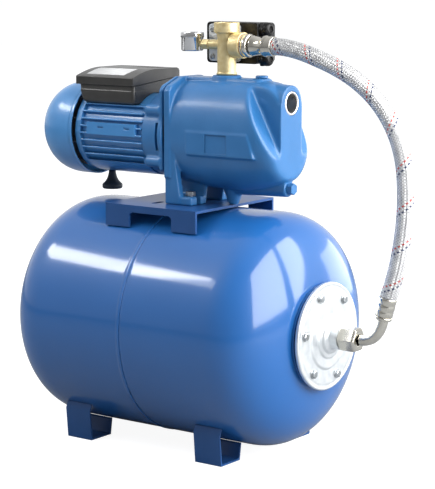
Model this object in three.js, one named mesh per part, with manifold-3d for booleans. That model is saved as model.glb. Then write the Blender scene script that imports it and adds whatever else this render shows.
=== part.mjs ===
// Jet pump set: a self-priming pump with its motor on a horizontal pressure tank.
// X runs along the tank towards the flange and the suction port, Z is up, millimetres.
import * as THREE from "three";
import { mergeVertices } from "three/addons/utils/BufferGeometryUtils.js";
import Module from "manifold-3d";

const wasm = await Module();
wasm.setup();

// Driving dimensions
const originX = 53.74; // middle of the footprint, measured from the middle of the tank
const soleZ = 16.4; // soles of the feet; the heights below are counted from 207 mm under the tank's axis
const gap = 0.3; // clearance kept between pieces that touch

const tank = { radius: 177, half: 151.5, dome: 99.5, power: 2.55, wall: 2.5, axisZ: 207, seamX: 4, mouth: 61 };
const flange = { radius: 80.5, back: 252.6, face: 258.6, boltCircle: 64, boltCount: 6, boltTurn: 9 };
const foot = { inner: 100.6, width: 48.6, front: 118, back: 70.5, sheet: 3, bend: 63.5 };
const bracket = { x0: -82, x1: 89.5, halfY: 101, top: 389.5, sheet: 4, skirtBottom: 355.7, legWidth: 45.5 };
const shaftZ = 491.5; // motor and pump axis
const cover = { rimX: -174.8, radius: 72.7, straight: 22.7, dome: 66.5, power: 2.28, wall: 2 };
const frame = { x0: -162, x1: -42, bore: 56.5, barrel: 60, tip: 66.5, finPitch: 11.05, finFirst: -35, finCount: 8 };
const casing = { halfY: 62, top: 578, bottom: 413, noseX: 191, shoulderX: 140, wall: 6, flangeThick: 11 };
const suction = { z: 546.8, outer: 28, bore: 14.4 };
const outlet = { x: 72.7, z: 584, outer: 22, bore: 12 };
const lid = { x0: -175, x1: -61, front: -59, back: 58, wall: 2.5 };
const manifold = { base: 584.4, top: 662.4, portZ: 629, tube: 14.2, ring: 19.3, rightEnd: 105.4, leftEnd: 42 };
const gauge = { x: 8, radius: 17.8, z0: 618.4, z1: 646.3 };
const switchBox = { x0: 17, x1: 112, y0: 24.4, y1: 73, z0: 600, z1: 662, split: 50 };
const hose = { radius: 12.8, sides: 10, steps: 32 };

// Hose centre line in the plane y = 0, from the upper ferrule to the lower one
const hoseRoute = [
  [160.3, 629], [178, 628], [205, 623], [238, 613], [270, 601], [303, 584], [334, 560], [358, 531],
  [374, 500], [383, 466], [386, 430], [385.5, 396], [381.5, 360], [375, 325], [367.5, 298], [360.5, 277.8],
];
const elbowRoute = [[315, 208], [324, 209.5], [334, 213.5], [343, 222], [349.5, 234.5], [352.5, 248.5]];

const paint = (color, roughness = 0.35) => ({ color, roughness, metalness: 0 });
const finishes = {
  tankBlue: paint(0x2a5fb0, 0.2),
  pumpBlue: paint(0x3767a8, 0.35),
  motorBlue: paint(0x3f78bd, 0.35),
  zinc: { color: 0xdfe6ea, roughness: 0.3, metalness: 0.9 },
  chrome: { color: 0xe4e0d4, roughness: 0.12, metalness: 1 },
  brass: { color: 0xd9c080, roughness: 0.3, metalness: 1 },
  steel: { color: 0xb9bdc0, roughness: 0.35, metalness: 1 },
  castIron: { color: 0x55585c, roughness: 0.6, metalness: 0.6 },
  copper: { color: 0xb87333, roughness: 0.4, metalness: 1 },
  blackPlastic: paint(0x1b1b1c, 0.5),
  boxPlastic: paint(0x3a3937, 0.5),
  greyPlastic: paint(0x8a8d90, 0.5),
  rubber: paint(0x1c2f3f, 0.8),
  gasket: paint(0x16181c, 0.8),
  braid: paint(0xd8d8d8, 0.45),
};

// Closed mesh to solid: equal corners become one, and flat slivers go.
function solidOf(geometry) {
  const bare = geometry.clone();
  bare.deleteAttribute("normal");
  bare.deleteAttribute("uv");
  const merged = mergeVertices(bare, 1e-3);
  const index = merged.index.array;
  const faces = [];
  for (let i = 0; i < index.length; i += 3) {
    const [a, b, c] = [index[i], index[i + 1], index[i + 2]];
    if (a !== b && b !== c && a !== c) faces.push(a, b, c);
  }
  const vertProperties = new Float32Array(merged.attributes.position.array);
  return new wasm.Manifold(new wasm.Mesh({ numProp: 3, vertProperties, triVerts: new Uint32Array(faces) }));
}

function geometryOf(solid) {
  const mesh = solid.getMesh();
  const geometry = new THREE.BufferGeometry();
  geometry.setAttribute("position", new THREE.BufferAttribute(new Float32Array(mesh.vertProperties), 3));
  geometry.setIndex(new THREE.BufferAttribute(new Uint32Array(mesh.triVerts), 1));
  geometry.computeVertexNormals();
  return geometry;
}

const join = (...solids) => solids.reduce((sum, next) => sum.add(next));
const cut = (body, ...tools) => tools.reduce((left, tool) => left.subtract(tool), body);

// Turned body: profile points are [distance along the axis, radius].
function turned(profile, axis, centre, segments = 24) {
  const points = profile.map(([along, radius]) => new THREE.Vector2(radius, along));
  const closed = points[0].x > 0 || points.at(-1).x > 0;
  if (closed) points.push(points[0].clone());
  if (THREE.ShapeUtils.area(closed ? points.slice(0, -1) : points) < 0) points.reverse();
  const geometry = new THREE.LatheGeometry(points, segments);
  if (axis === "x") geometry.rotateZ(-Math.PI / 2);
  if (axis === "z") geometry.rotateX(Math.PI / 2);
  geometry.translate(...centre);
  return solidOf(geometry);
}

const rod = (axis, from, to, radius, centre, segments = 20) =>
  turned([[from, 0], [from, radius], [to, radius], [to, 0]], axis, centre, segments);
const pipe = (axis, from, to, outer, inner, centre, segments = 20) =>
  turned([[from, inner], [from, outer], [to, outer], [to, inner]], axis, centre, segments);
const hexBar = (axis, from, to, acrossFlats, centre) => rod(axis, from, to, acrossFlats / Math.sqrt(3), centre, 6);

function box(x0, x1, y0, y1, z0, z1) {
  const geometry = new THREE.BoxGeometry(x1 - x0, y1 - y0, z1 - z0);
  geometry.translate((x0 + x1) / 2, (y0 + y1) / 2, (z0 + z1) / 2);
  return solidOf(geometry);
}

// A flat outline given thickness along X (outline in Y and Z), Y (in X and Z) or Z (in X and Y).
function slab(shape, axis, from, to, curveSegments = 3) {
  const geometry = new THREE.ExtrudeGeometry(shape, { depth: to - from, bevelEnabled: false, curveSegments });
  const x = new THREE.Vector3(1, 0, 0);
  const y = new THREE.Vector3(0, 1, 0);
  const z = new THREE.Vector3(0, 0, 1);
  const turn = new THREE.Matrix4();
  if (axis === "x") turn.makeBasis(y, z, x).setPosition(from, 0, 0);
  if (axis === "y") turn.makeBasis(x, z, y.negate()).setPosition(0, to, 0);
  if (axis === "z") turn.makeTranslation(0, 0, from);
  geometry.applyMatrix4(turn);
  return solidOf(geometry);
}

function outline(points) {
  return new THREE.Shape(points.map(([u, v]) => new THREE.Vector2(u, v)));
}

function roundedRect(u0, v0, u1, v1, r) {
  const shape = new THREE.Shape();
  shape.moveTo(u0 + r, v0);
  shape.lineTo(u1 - r, v0);
  shape.absarc(u1 - r, v0 + r, r, -Math.PI / 2, 0);
  shape.lineTo(u1, v1 - r);
  shape.absarc(u1 - r, v1 - r, r, 0, Math.PI / 2);
  shape.lineTo(u0 + r, v1);
  shape.absarc(u0 + r, v1 - r, r, Math.PI / 2, Math.PI);
  shape.lineTo(u0, v0 + r);
  shape.absarc(u0 + r, v0 + r, r, Math.PI, 1.5 * Math.PI);
  return shape;
}

// Round bar of the given radius swept along a smooth line through points of the plane y = 0.
function swept(route, radius, sides, steps) {
  const points = route.map(([x, z]) => new THREE.Vector3(x, 0, z));
  const section = new THREE.Shape();
  for (let i = 0; i < sides; i += 1) {
    const angle = (2 * Math.PI * i) / sides;
    const place = [radius * Math.cos(angle), radius * Math.sin(angle)];
    if (i === 0) section.moveTo(...place);
    else section.lineTo(...place);
  }
  const extrudePath = new THREE.CatmullRomCurve3(points, false, "centripetal");
  return solidOf(new THREE.ExtrudeGeometry(section, { steps, bevelEnabled: false, extrudePath }));
}

// Body through closed rings of points, its two ends capped by fans.
function lofted(rings) {
  const count = rings[0].length;
  const positions = rings.flat(2);
  const faces = [];
  rings.slice(1).forEach((ring, k) => {
    for (let i = 0; i < count; i += 1) {
      const a = k * count + i;
      const b = k * count + ((i + 1) % count);
      faces.push(a, b, b + count, a, b + count, a + count);
    }
  });
  const last = (rings.length - 1) * count;
  for (let i = 1; i < count - 1; i += 1) {
    faces.push(0, i + 1, i);
    faces.push(last, last + i, last + i + 1);
  }
  const geometry = new THREE.BufferGeometry();
  geometry.setAttribute("position", new THREE.BufferAttribute(new Float32Array(positions), 3));
  geometry.setIndex(faces);
  return solidOf(geometry);
}

const root = new THREE.Group();
root.position.set(-originX, 0, -soleZ);

function piece(name, finish, solid) {
  const material = new THREE.MeshStandardMaterial(finishes[finish]);
  const mesh = new THREE.Mesh(geometryOf(solid), material);
  mesh.name = name;
  root.add(mesh);
}

// Superellipse arc from the rim (radius) to the pole (depth), as [along, radius] pairs.
function domeArc(start, depth, radius, power, side, fromRadius, steps) {
  const points = [];
  const last = Math.acos(Math.pow(fromRadius / radius, power / 2));
  for (let i = 0; i <= steps; i += 1) {
    const angle = (last * i) / steps;
    const along = start + side * depth * Math.pow(Math.sin(angle), 2 / power);
    points.push([along, radius * Math.pow(Math.cos(angle), 2 / power)]);
  }
  return points;
}

function buildTank() {
  const { radius, half, dome, power, wall, axisZ, seamX, mouth } = tank;
  const centre = [0, 0, axisZ];
  const bead = 0.9;
  const shell = (side, edge, hole) => [
    ...domeArc(side * half, dome, radius, power, side, hole, 6),
    ...domeArc(side * half, dome - wall, radius - wall, power, side, hole, 4).reverse(),
    [edge, radius - wall],
    [edge, radius],
  ];
  const rear = shell(-1, seamX - gap, 5.5);
  rear.splice(rear.length - 1, 1, [seamX - gap, radius + bead], [seamX - 6, radius + bead]);
  piece("tank_rear_half", "tankBlue", turned(rear, "x", centre, 28));
  piece("tank_front_half", "tankBlue", turned(shell(1, seamX, mouth), "x", centre, 28));
  const valve = [[-265, 0], [-265, 6], [-259, 7], [-251.8, 7], [-251.8, 4.8], [-240, 4.8], [-240, 0]];
  piece("air_valve", "steel", turned(valve, "x", centre, 12));

  const neck = [[241, 48], [249.6, 48], [249.6, 79], [246.4, 79], [248.9, 62], [249, 60.4], [241, 60.4]];
  piece("tank_neck_ring", "tankBlue", turned(neck, "x", centre, 24));
  const bladder = [
    [-205, 0], [-195, 90], [-140, 145], [120, 152], [190, 120], [238, 44], [249.9, 44], [249.9, 76], [252.3, 76],
    [252.3, 41], [236, 41], [188, 117], [118, 149], [-139, 142], [-192, 88], [-202, 0],
  ];
  const boltPlaces = [];
  for (let i = 0; i < flange.boltCount; i += 1) {
    const angle = ((60 * i - flange.boltTurn) * Math.PI) / 180;
    boltPlaces.push([0, flange.boltCircle * Math.cos(angle), axisZ + flange.boltCircle * Math.sin(angle)]);
  }
  const holes = boltPlaces.map((place) => rod("x", 245.5, 262, 4.6, place, 8));
  piece("bladder", "rubber", cut(turned(bladder, "x", centre, 18), ...holes));
  const disc = [
    [flange.back, 13], [flange.back, flange.radius], [flange.face, flange.radius], [flange.face, 48.5],
    [261.2, 46.6], [261.2, 33], [263.4, 31], [263.4, 25], [268, 23], [269, 17.5], [283, 17.3], [283, 13],
  ];
  piece("tank_flange", "zinc", cut(turned(disc, "x", centre, 28), ...holes));
  boltPlaces.forEach((place, i) => {
    const head = hexBar("x", 258.9, 263.9, 12, place);
    piece("flange_bolt_" + (i + 1), "steel", join(head, rod("x", 250.2, 259.5, 4, place, 8)));
  });
}

// Each foot is a bent strap: a leaning front plate rolled in at its top, a flat sole and a back plate.
function buildFeet() {
  const { inner, width, front, back, sheet, bend } = foot;
  const surface = (y) => tank.axisZ - Math.sqrt((tank.radius + gap) ** 2 - y ** 2);
  const backTop = surface(back - 4);
  const strap = outline([
    [-front, soleZ], [-back, soleZ], [-back + 4, backTop], [-back + 4 - sheet, backTop - 2],
    [-back - sheet, soleZ + sheet], [-front + sheet, soleZ + sheet], [-front - 1.2, bend - 2], [-front + 2.5, surface(front - 2.5)],
    [-front + 0.5, surface(front - 0.5)], [-front - 4.2, bend],
  ]);
  const toRear = new THREE.Matrix4().makeRotationZ(Math.PI);
  ["left", "right"].forEach((end, i) => {
    const x0 = i === 0 ? -inner - width : inner;
    piece("foot_front_" + end, "tankBlue", slab(strap, "x", x0, x0 + width));
    const turnedStrap = slab(strap, "x", -x0 - width, -x0).transform(toRear.elements);
    piece("foot_rear_" + end, "tankBlue", turnedStrap);
  });
}

function buildBracket() {
  const { x0, x1, halfY, top, sheet, skirtBottom, legWidth } = bracket;
  const plate = box(x0, x1, -halfY, halfY, top - sheet, top);
  const skirt = new THREE.Shape(roundedRect(x0, skirtBottom, x1, top - sheet / 2, 1).getPoints(3));
  const window = roundedRect(x0 + legWidth, skirtBottom - 20, x1 - legWidth, top - 11, 6);
  const side = (y0, y1) => cut(slab(skirt, "y", y0, y1), slab(window, "y", y0 - 1, y1 + 1));
  const slots = [-17.5, 33].flatMap((x) =>
    [-1, 1].map((s) => {
      const middle = s * (x < 0 ? 54 : 39);
      const reach = x < 0 ? 13 : 9;
      return slab(roundedRect(x - 4.5, middle - reach, x + 4.5, middle + reach, 4.4), "z", top - 9, top + 5);
    }),
  );
  const solid = join(plate, side(-halfY, -halfY + sheet), side(halfY - sheet, halfY));
  piece("pump_bracket", "tankBlue", cut(solid, ...slots));
}

// Casing cross-section at x, drawn in by inset on every side.
function casingRing(x, inset, count = 28) {
  const run = casing.noseX - casing.shoulderX;
  const u = Math.max(0, Math.min(1, (x - casing.shoulderX) / run));
  const shoulder = 1 - Math.pow(1 - Math.pow(u, 2.6), 1 / 2.6);
  const belly = Math.max(0, x - 122) * 0.2;
  const flare = Math.max(0, 1 - x / 60);
  const halfY = casing.halfY - 24 * shoulder - inset;
  const low = casing.bottom + belly + 8 * flare + 10 * shoulder + inset;
  const high = casing.top - 45 * shoulder - 3 * flare - inset;
  const ring = [];
  for (let i = 0; i < count; i += 1) {
    const angle = (2 * Math.PI * i) / count;
    const c = Math.cos(angle);
    const s = Math.sin(angle);
    const y = halfY * Math.sign(c) * Math.pow(Math.abs(c), 0.88);
    const z = (low + high) / 2 + ((high - low) / 2) * Math.sign(s) * Math.pow(Math.abs(s), 0.88);
    ring.push([x, y, z]);
  }
  return ring;
}

function casingLeg(side) {
  const mirror = (y0, y1) => (side < 0 ? [-y1, -y0] : [y0, y1]);
  const post = slab(outline([[0, 389.8], [27, 389.8], [28, 402], [11, 505], [0, 505]]), "y", ...mirror(48, 59.5));
  const pad = box(0, 49, ...mirror(22, 58), 389.8, 402);
  const rib = slab(outline([[0, 389.8], [49, 389.8], [53, 418], [60, 445], [0, 445]]), "y", ...mirror(20, 25));
  const slot = slab(roundedRect(28, side * 39 - 5, 70, side * 39 + 5, 4.8), "z", 380, 403);
  return [join(post, pad, rib), slot];
}

function buildCasing() {
  const { noseX, flangeThick, halfY } = casing;
  const stations = [0.2, 30, 60, 122, 140, 155, 168, 178, 184, 188.6, noseX];
  const outer = lofted(stations.map((x) => casingRing(x, 0)));
  const room = lofted([-2, 30, 60, 122, 140, 158, 172].map((x) => casingRing(x, casing.wall, 16)));
  const plate = slab(
    outline([
      [-halfY, 430], [halfY, 430], [halfY, 561], [56, 568], [22, 581], [-22, 581], [-56, 568], [-halfY, 561],
    ]),
    "x", 0, flangeThick,
  );
  const web = box(128, noseX, -suction.outer, suction.outer, 468, suction.z);
  const tube = turned([[100, 0], [100, 31], [140, 30], [noseX, suction.outer - 1.5], [noseX, 0]], "x",
    [0, 0, suction.z], 22);
  const rampAt = (back) => outline([[136 - back, 574], [190.2 - back, 470], [230, 470], [230, 640], [136 - back, 640]]);
  const webRoom = suction.outer - 6;
  const pockets = [slab(rampAt(0), "y", -90, -suction.outer), slab(rampAt(0), "y", suction.outer, 90)];
  const pocketWalls = [slab(rampAt(7), "y", -90, -webRoom), slab(rampAt(7), "y", webRoom, 90)];
  const hollow = cut(room, ...pocketWalls);
  const deck = slab(roundedRect(2, -19, 146, 19, 8), "z", 560, 580);
  const outletBoss = turned([[540, 0], [540, 24], [576, 23], [outlet.z, 21], [outlet.z, 0]], "z", [outlet.x, 0, 0], 16);
  const plugBoss = rod("z", 560, 581.6, 12, [137, 0, 0], 14);
  const drainBoss = turned([[96, 0], [96, 15.5], [187, 12.5], [187, 0]], "x", [0, 0, 420.5], 12);
  const keel = turned([[389.8, 0], [389.8, 7], [394, 9], [425, 20], [425, 0]], "z", [86, 0, 0], 12);
  const panelOutline = outline([[42, 467], [166, 467], [153, 502], [42, 502]]);
  const panel = (y0, y1) => slab(panelOutline, "y", y0, y1);
  const legs = [casingLeg(-1), casingLeg(1)];
  let body = join(cut(outer, ...pockets), plate, web, tube, deck, outletBoss, plugBoss, drainBoss, keel);
  body = join(body, panel(-halfY - 0.8, -halfY + 8), panel(halfY - 8, halfY + 0.8));
  const duct = rod("x", 120, noseX + 2, suction.bore, [0, 0, suction.z], 16);
  const collector = rod("z", 540, outlet.z + 2, outlet.bore, [outlet.x, 0, 0], 12);
  const plugHole = rod("z", 560, 590, 7.4, [137, 0, 0], 12);
  const drainHole = rod("x", 160, 190, 6, [0, 0, 420.5], 12);
  const drainWay = rod("z", 416, 436, 4, [168, 0, 0], 10);
  body = cut(body, hollow, duct, collector, plugHole, drainHole, drainWay);
  legs.forEach(([leg, slot]) => {
    body = cut(join(body, cut(leg, hollow)), slot);
  });
  piece("pump_casing", "pumpBlue", body);

  const plug = [[576, 0], [576, 7], [582, 7], [582, 9.5], [585.5, 9], [585.5, 0]];
  piece("priming_plug", "pumpBlue", turned(plug, "z", [137, 0, 0], 12));
  const drain = join(rod("x", 176, 188, 5.7, [0, 0, 420.5], 10), hexBar("x", 189.2, 196, 15, [0, 0, 420.5]),
    rod("x", 187.3, 189.6, 8.6, [0, 0, 420.5], 14));
  piece("drain_plug", "steel", drain);
  [-1, 1].forEach((side) => {
    const place = [34, side * 39, 0];
    const bolt = join(hexBar("z", 402.3, 409, 13, place), rod("z", 380.5, 403, 3.2, place, 8));
    piece(side < 0 ? "foot_bolt_front" : "foot_bolt_rear", "steel", bolt);
  });

  const frontRing = casingRing(0, 3);
  const gasketOuter = outline(frontRing.map(([, y, z]) => [y, z]));
  const gasketInner = outline(casingRing(0, 11).map(([, y, z]) => [y, z]));
  piece("casing_gasket", "gasket", cut(slab(gasketOuter, "x", -3.2, -0.3), slab(gasketInner, "x", -5, 2)));
}

function buildHydraulics() {
  const centre = [0, 0, shaftZ];
  const impeller = [
    [12, 7.4], [12, 14], [15, 44], [18, 44], [18, 20], [26, 19], [26, 44], [29, 44], [31, 17], [40, 15], [40, 12],
    [30, 11], [30, 7.4],
  ];
  const vanes = [];
  for (let i = 0; i < 6; i += 1) {
    const turn = new THREE.Matrix4().makeTranslation(0, 0, shaftZ);
    turn.multiply(new THREE.Matrix4().makeRotationX((Math.PI * i) / 3));
    vanes.push(box(17.5, 26.5, -1.5, 1.5, 16, 43).transform(turn.elements));
  }
  piece("impeller", "brass", join(turned(impeller, "x", centre, 20), ...vanes));
  const diffuser = [
    [10.5, 47], [10.5, 51], [34, 51], [48, 32], [64, 22], [64, 18.5], [47, 28], [32, 47],
  ];
  piece("diffuser", "blackPlastic", turned(diffuser, "x", centre, 18));
  const ejectorCentre = [0, 0, 484];
  const ejector = [
    [74, 16], [74, 19], [112, 12], [128, 12], [150, 17], [172, 17], [172, 13], [152, 13], [130, 8.5], [112, 8.5],
  ];
  piece("ejector", "blackPlastic", turned(ejector, "x", ejectorCentre, 14));
  const seal = [[-3, 8], [-3, 15], [4, 15], [4, 12], [11.5, 12], [11.5, 7.4], [4, 7.4], [4, 8]];
  piece("mechanical_seal", "steel", turned(seal, "x", centre, 16));
}

function buildMotor() {
  const centre = [0, 0, shaftZ];
  const shaft = [
    [-212, 0], [-212, 6], [-172, 6], [-172, 7], [-140, 7], [-140, 10], [-56, 10], [-56, 7], [36, 7], [36, 0],
  ];
  piece("shaft", "steel", turned(shaft, "x", centre, 12));
  piece("rotor_core", "castIron", pipe("x", -132, -66, 33, 10.3, centre, 20));
  const spokes = (inner, outer, half, x0, x1) =>
    [0, 1, 2, 3, 4, 5].map((i) => {
      const turn = new THREE.Matrix4().makeTranslation(0, 0, shaftZ);
      turn.multiply(new THREE.Matrix4().makeRotationX((Math.PI * i) / 3));
      return box(x0, x1, -half, half, inner, outer).transform(turn.elements);
    });
  const core = pipe("x", -132, -66, 56, 34, centre, 24);
  piece("stator_core", "castIron", cut(core, ...spokes(38, 50, 4, -140, -60)));
  const endTurns = [pipe("x", -144, -133, 52, 36, centre, 20), pipe("x", -65, -54, 52, 36, centre, 20)];
  piece("stator_winding", "copper", join(...endTurns, ...spokes(39, 49, 3.2, -134, -64)));
  piece("rear_bearing", "steel", pipe("x", -158, -147, 17.5, 7.3, centre, 16));
  piece("front_bearing", "steel", pipe("x", -43, -32, 17.5, 7.3, centre, 16));

  const { x0, x1, bore, barrel, tip, finPitch, finFirst, finCount } = frame;
  const fins = [];
  for (let i = 0; i < finCount; i += 1) {
    const rise = finFirst + finPitch * i;
    const reach = Math.sqrt(tip ** 2 - rise ** 2);
    fins.push(box(x0, x1, -reach, reach, shaftZ + rise - 1.2, shaftZ + rise + 1.2));
  }
  const band = rod("x", x0, x1, 66, centre, 32).intersect(box(x0, x1, -70, 70, 420, 446));
  const namePad = [box(-148, -52, -tip - 0.3, -40, 488, 507), box(-148, -52, 40, tip + 0.3, 488, 507)];
  const barrelBody = rod("x", x0, x1, barrel, centre, 28);
  const hollow = rod("x", x0 - 1, x1 + 1, bore, centre, 28);
  piece("motor_frame", "motorBlue", cut(join(barrelBody, band, ...fins, ...namePad), hollow));

  const rearShield = [
    [-170, 9], [-170, 24], [-167, 26], [-167, 57], [-172, 58], [-172, 65.5], [-162.3, 65.5], [-162.3, 22], [-147, 22],
    [-147, 17.8], [-160, 17.8], [-160, 9],
  ];
  piece("rear_end_shield", "castIron", turned(rearShield, "x", centre, 24));

  const lantern = [
    [-41.7, 22], [-41.7, 17.8], [-30, 17.8], [-30, 15.4], [-5, 15.4], [-5, 22], [-25, 24], [-32, 56], [-12, 58],
    [-12, 64.5], [-41.7, 64.5], [-41.7, 57], [-34, 55], [-30, 24],
  ];
  const lugs = [-1, 1].flatMap((sy) => [-1, 1].map((sz) => [0, sy * 54, shaftZ + sz * 39]));
  const lugBodies = lugs.map((place) => rod("x", -36, -8, 9, place, 8));
  const plate = slab(
    outline([
      [-60, 440], [60, 440], [60, 561], [54, 568], [21, 580], [-21, 580], [-54, 568], [-60, 561],
    ]),
    "x", -10.5, -3.5,
  );
  const drum = turned(lantern, "x", centre, 24);
  const vents = [box(-15.6, -10.8, -70, -40, 470, 512), box(-15.6, -10.8, 40, 70, 470, 512)];
  const sealRoom = rod("x", -14, 2, 15.2, centre, 16);
  const boltHoles = lugs.map((place) => rod("x", -45, 2, 3.7, place, 8));
  const headRoom = lugs.map((place) => rod("x", -45, -36, 6.8, place, 8));
  const frameRoom = cut(rod("x", -44, -30, 55, centre, 24), rod("x", -45, -28, 24.2, centre, 16));
  const bracketBody = cut(join(cut(drum, ...vents), ...lugBodies, plate), frameRoom, sealRoom);
  piece("motor_bracket", "pumpBlue", cut(bracketBody, ...boltHoles, ...headRoom));
  lugs.forEach((place, i) => {
    const bolt = join(hexBar("x", -40.5, -36.3, 10.4, place), rod("x", -37, -6, 3.3, place, 8));
    piece("casing_bolt_" + (i + 1), "steel", bolt);
  });

  const coverArc = domeArc(cover.rimX - cover.straight, cover.dome, cover.radius, cover.power, -1, 0, 6);
  const innerArc = domeArc(
    cover.rimX - cover.straight, cover.dome - cover.wall, cover.radius - cover.wall, cover.power, -1, 0, 5,
  ).reverse();
  innerArc[0][1] = 0;
  coverArc.at(-1)[1] = 0;
  const coverShell = turned(
    [[...coverArc.at(-1)], ...coverArc.slice(0, -1).reverse(), [cover.rimX, cover.radius],
      [cover.rimX, cover.radius - cover.wall], ...innerArc.slice(1).reverse(), [...innerArc[0]]],
    "x", centre, 28,
  );
  const grille = [];
  for (let i = -2; i <= 2; i += 1) {
    const reach = Math.sqrt(40 ** 2 - (i * 12) ** 2);
    const rise = shaftZ + i * 12;
    grille.push(box(-280, -232, -reach, reach, rise - 2.6, rise + 2.6));
  }
  piece("fan_cover", "motorBlue", cut(coverShell, ...grille));
  const hub = turned([[-206, 6.3], [-206, 15], [-182, 18], [-178, 62], [-176, 62], [-176, 6.3]], "x", centre, 20);
  piece("fan", "greyPlastic", join(hub, ...spokes(14, 60, 1.2, -200, -177)));

  const stand = [
    [396, 0], [396, 14.5], [398.5, 16], [402.5, 16], [404.5, 14], [413, 8], [421, 5.6], [425.1, 5.6], [425.1, 0],
  ];
  piece("motor_foot", "rubber", turned(stand, "z", [-152, 0, 0], 14));
}

function buildTerminalBox() {
  const { x0, x1, front, back, wall } = lid;
  const seamLow = 564;
  const seamHigh = 574.4;
  const shell = outline([
    [front, seamLow], [back, seamHigh], [back, 586], [back - 3, 588], [-5, 588], [front + 3, 579], [front, 577],
  ]);
  const room = outline([
    [front + wall, seamLow - 4], [back - wall, seamHigh - 4], [back - wall, 585], [-5, 585.3], [front + wall, 575.4],
  ]);
  piece("terminal_box_lid", "boxPlastic", cut(slab(shell, "x", x0, x1), slab(room, "x", x0 + wall, x1 - wall)));

  const ring = (z, xa, xb, y) => [[xa, -y, z], [xb, -y, z], [xb, y, z], [xa, y, z]];
  const block = lofted([ring(535.8, -164, -62, 54), ring(541, -166, -60.5, 57.4), ring(590, -174, -62, 57.8)]);
  const seat = (radius) => rod("x", -200, -40, radius, [0, 0, shaftZ], 32);
  const shieldSeat = rod("x", -200, -161.8, 66.3, [0, 0, shaftZ], 32);
  const slope = (seamHigh - seamLow) / (back - front);
  const under = (y) => seamLow - gap - 0.4 + slope * (y - front);
  const above = slab(outline([[-90, under(-90)], [90, under(90)], [90, 700], [-90, 700]]), "x", -220, -20);
  const inside = lofted([ring(539, -161, -65, 50), ring(545, -162.5, -64, 53.5), ring(590, -170, -65, 54)]);
  const shellRoom = cut(inside, seat(frame.barrel + 4));
  piece("terminal_box_base", "blackPlastic", cut(block, above, seat(frame.barrel + 0.8), shieldSeat, shellRoom));
  piece("capacitor", "greyPlastic", rod("x", -160, -92, 10.5, [0, 40, 562.5], 14));
}

function buildManifold() {
  const { base, top, portZ, tube, ring, rightEnd, leftEnd } = manifold;
  const { x } = outlet;
  const up = [x, 0, 0];
  const level = [0, 0, portZ];
  const column = turned(
    [[base, 0], [base, 15.5], [base + 3, 15.5], [base + 4, tube], [642, tube], [644, tube + 0.8], [646.7, tube + 0.8],
      [647, ring], [top, ring], [top, 0]],
    "z", up, 18,
  );
  const right = turned([[x, 0], [x, 15], [84, 15.5], [87, 19.6], [rightEnd, 19.6], [rightEnd, 0]], "x", level, 18);
  const left = rod("x", leftEnd, x, 7.1, level, 12);
  const back = rod("y", 0, 20.3, 7.5, [x - 14, 0, portZ], 12);
  const bores = [
    rod("z", base - 1, top + 1, 9, up, 12), rod("z", top - 14, top + 1, 14.5, up, 16),
    rod("x", x, rightEnd + 1, 12.5, level, 14), rod("x", leftEnd - 1, x, 4, level, 10),
    rod("y", 2, 22, 3.5, [x - 14, 0, portZ], 8),
  ];
  piece("manifold", "brass", cut(join(column, right, left, back), ...bores));

  const { x: gx, radius, z0, z1 } = gauge;
  const can = [
    [z0, 0], [z0, radius - 2.5], [z0 + 1.5, radius - 1], [z1 - 8, radius - 1], [z1 - 7.5, radius], [z1, radius - 0.4],
    [z1, radius - 2], [z1 - 5, radius - 2.4], [z1 - 5, 0],
  ];
  const stem = join(hexBar("x", 29.6, leftEnd - gap, 14.6, level), rod("x", gx + radius - 2.2, 30, 5.2, level, 12));
  const stemBore = rod("x", gx + radius - 6, leftEnd + 1, 2, level, 8);
  const pivotHole = rod("z", z1 - 14, z1, 1.2, [gx, 0, 0], 10);
  piece("gauge_case", "chrome", cut(join(turned(can, "z", [gx, 0, 0], 24), stem), stemBore, pivotHole));
  const pointer = outline([[-1.3, -4], [1.3, -4], [1.1, 0], [0.3, 12.5], [-0.3, 12.5], [-1.1, 0]]);
  const needle = join(slab(pointer, "z", z1 - 4.2, z1 - 3.4), rod("z", z1 - 13, z1 - 3.2, 0.9, [0, 0, 0], 10));
  const parked = new THREE.Matrix4().makeTranslation(gx, 0, 0);
  parked.multiply(new THREE.Matrix4().makeRotationZ((135 * Math.PI) / 180));
  piece("gauge_needle", "blackPlastic", needle.transform(parked.elements));
}

function buildSwitch() {
  const { x0, x1, y0, y1, z0, z1, split } = switchBox;
  const plate = cut(slab(roundedRect(24, 603, 82, 659, 5), "y", 20.6, y0 - gap),
    rod("y", 18, 26, 4, [outlet.x - 14, 0, manifold.portZ], 10));
  piece("switch_flange", "zinc", plate);
  const base = cut(slab(roundedRect(x0, z0, x1, z1, 6), "y", y0, split),
    slab(roundedRect(x0 + 3, z0 + 3, x1 - 3, z1 - 3, 4), "y", y0 + 5, split + 1));
  piece("switch_base", "blackPlastic", base);
  const hood = cut(slab(roundedRect(x0 + 1, z0 + 1, x1 - 1, z1 - 1, 6), "y", split + gap, y1),
    slab(roundedRect(x0 + 3.5, z0 + 3.5, x1 - 3.5, z1 - 3.5, 4), "y", split - 1, y1 - 2.5));
  piece("switch_cover", "blackPlastic", hood);
  [["upper", 652], ["lower", 607.6]].forEach(([level, z]) => {
    const place = [0, 37, z];
    const gland = [
      [x1 + gap, 0], [x1 + gap, 12.2], [x1 + 7, 12.2], [x1 + 7.5, 10.8], [x1 + 13, 10.2], [x1 + 16, 8], [x1 + 16, 0],
    ];
    piece("switch_gland_" + level, "blackPlastic", turned(gland, "x", place, 12));
  });
}

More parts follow.
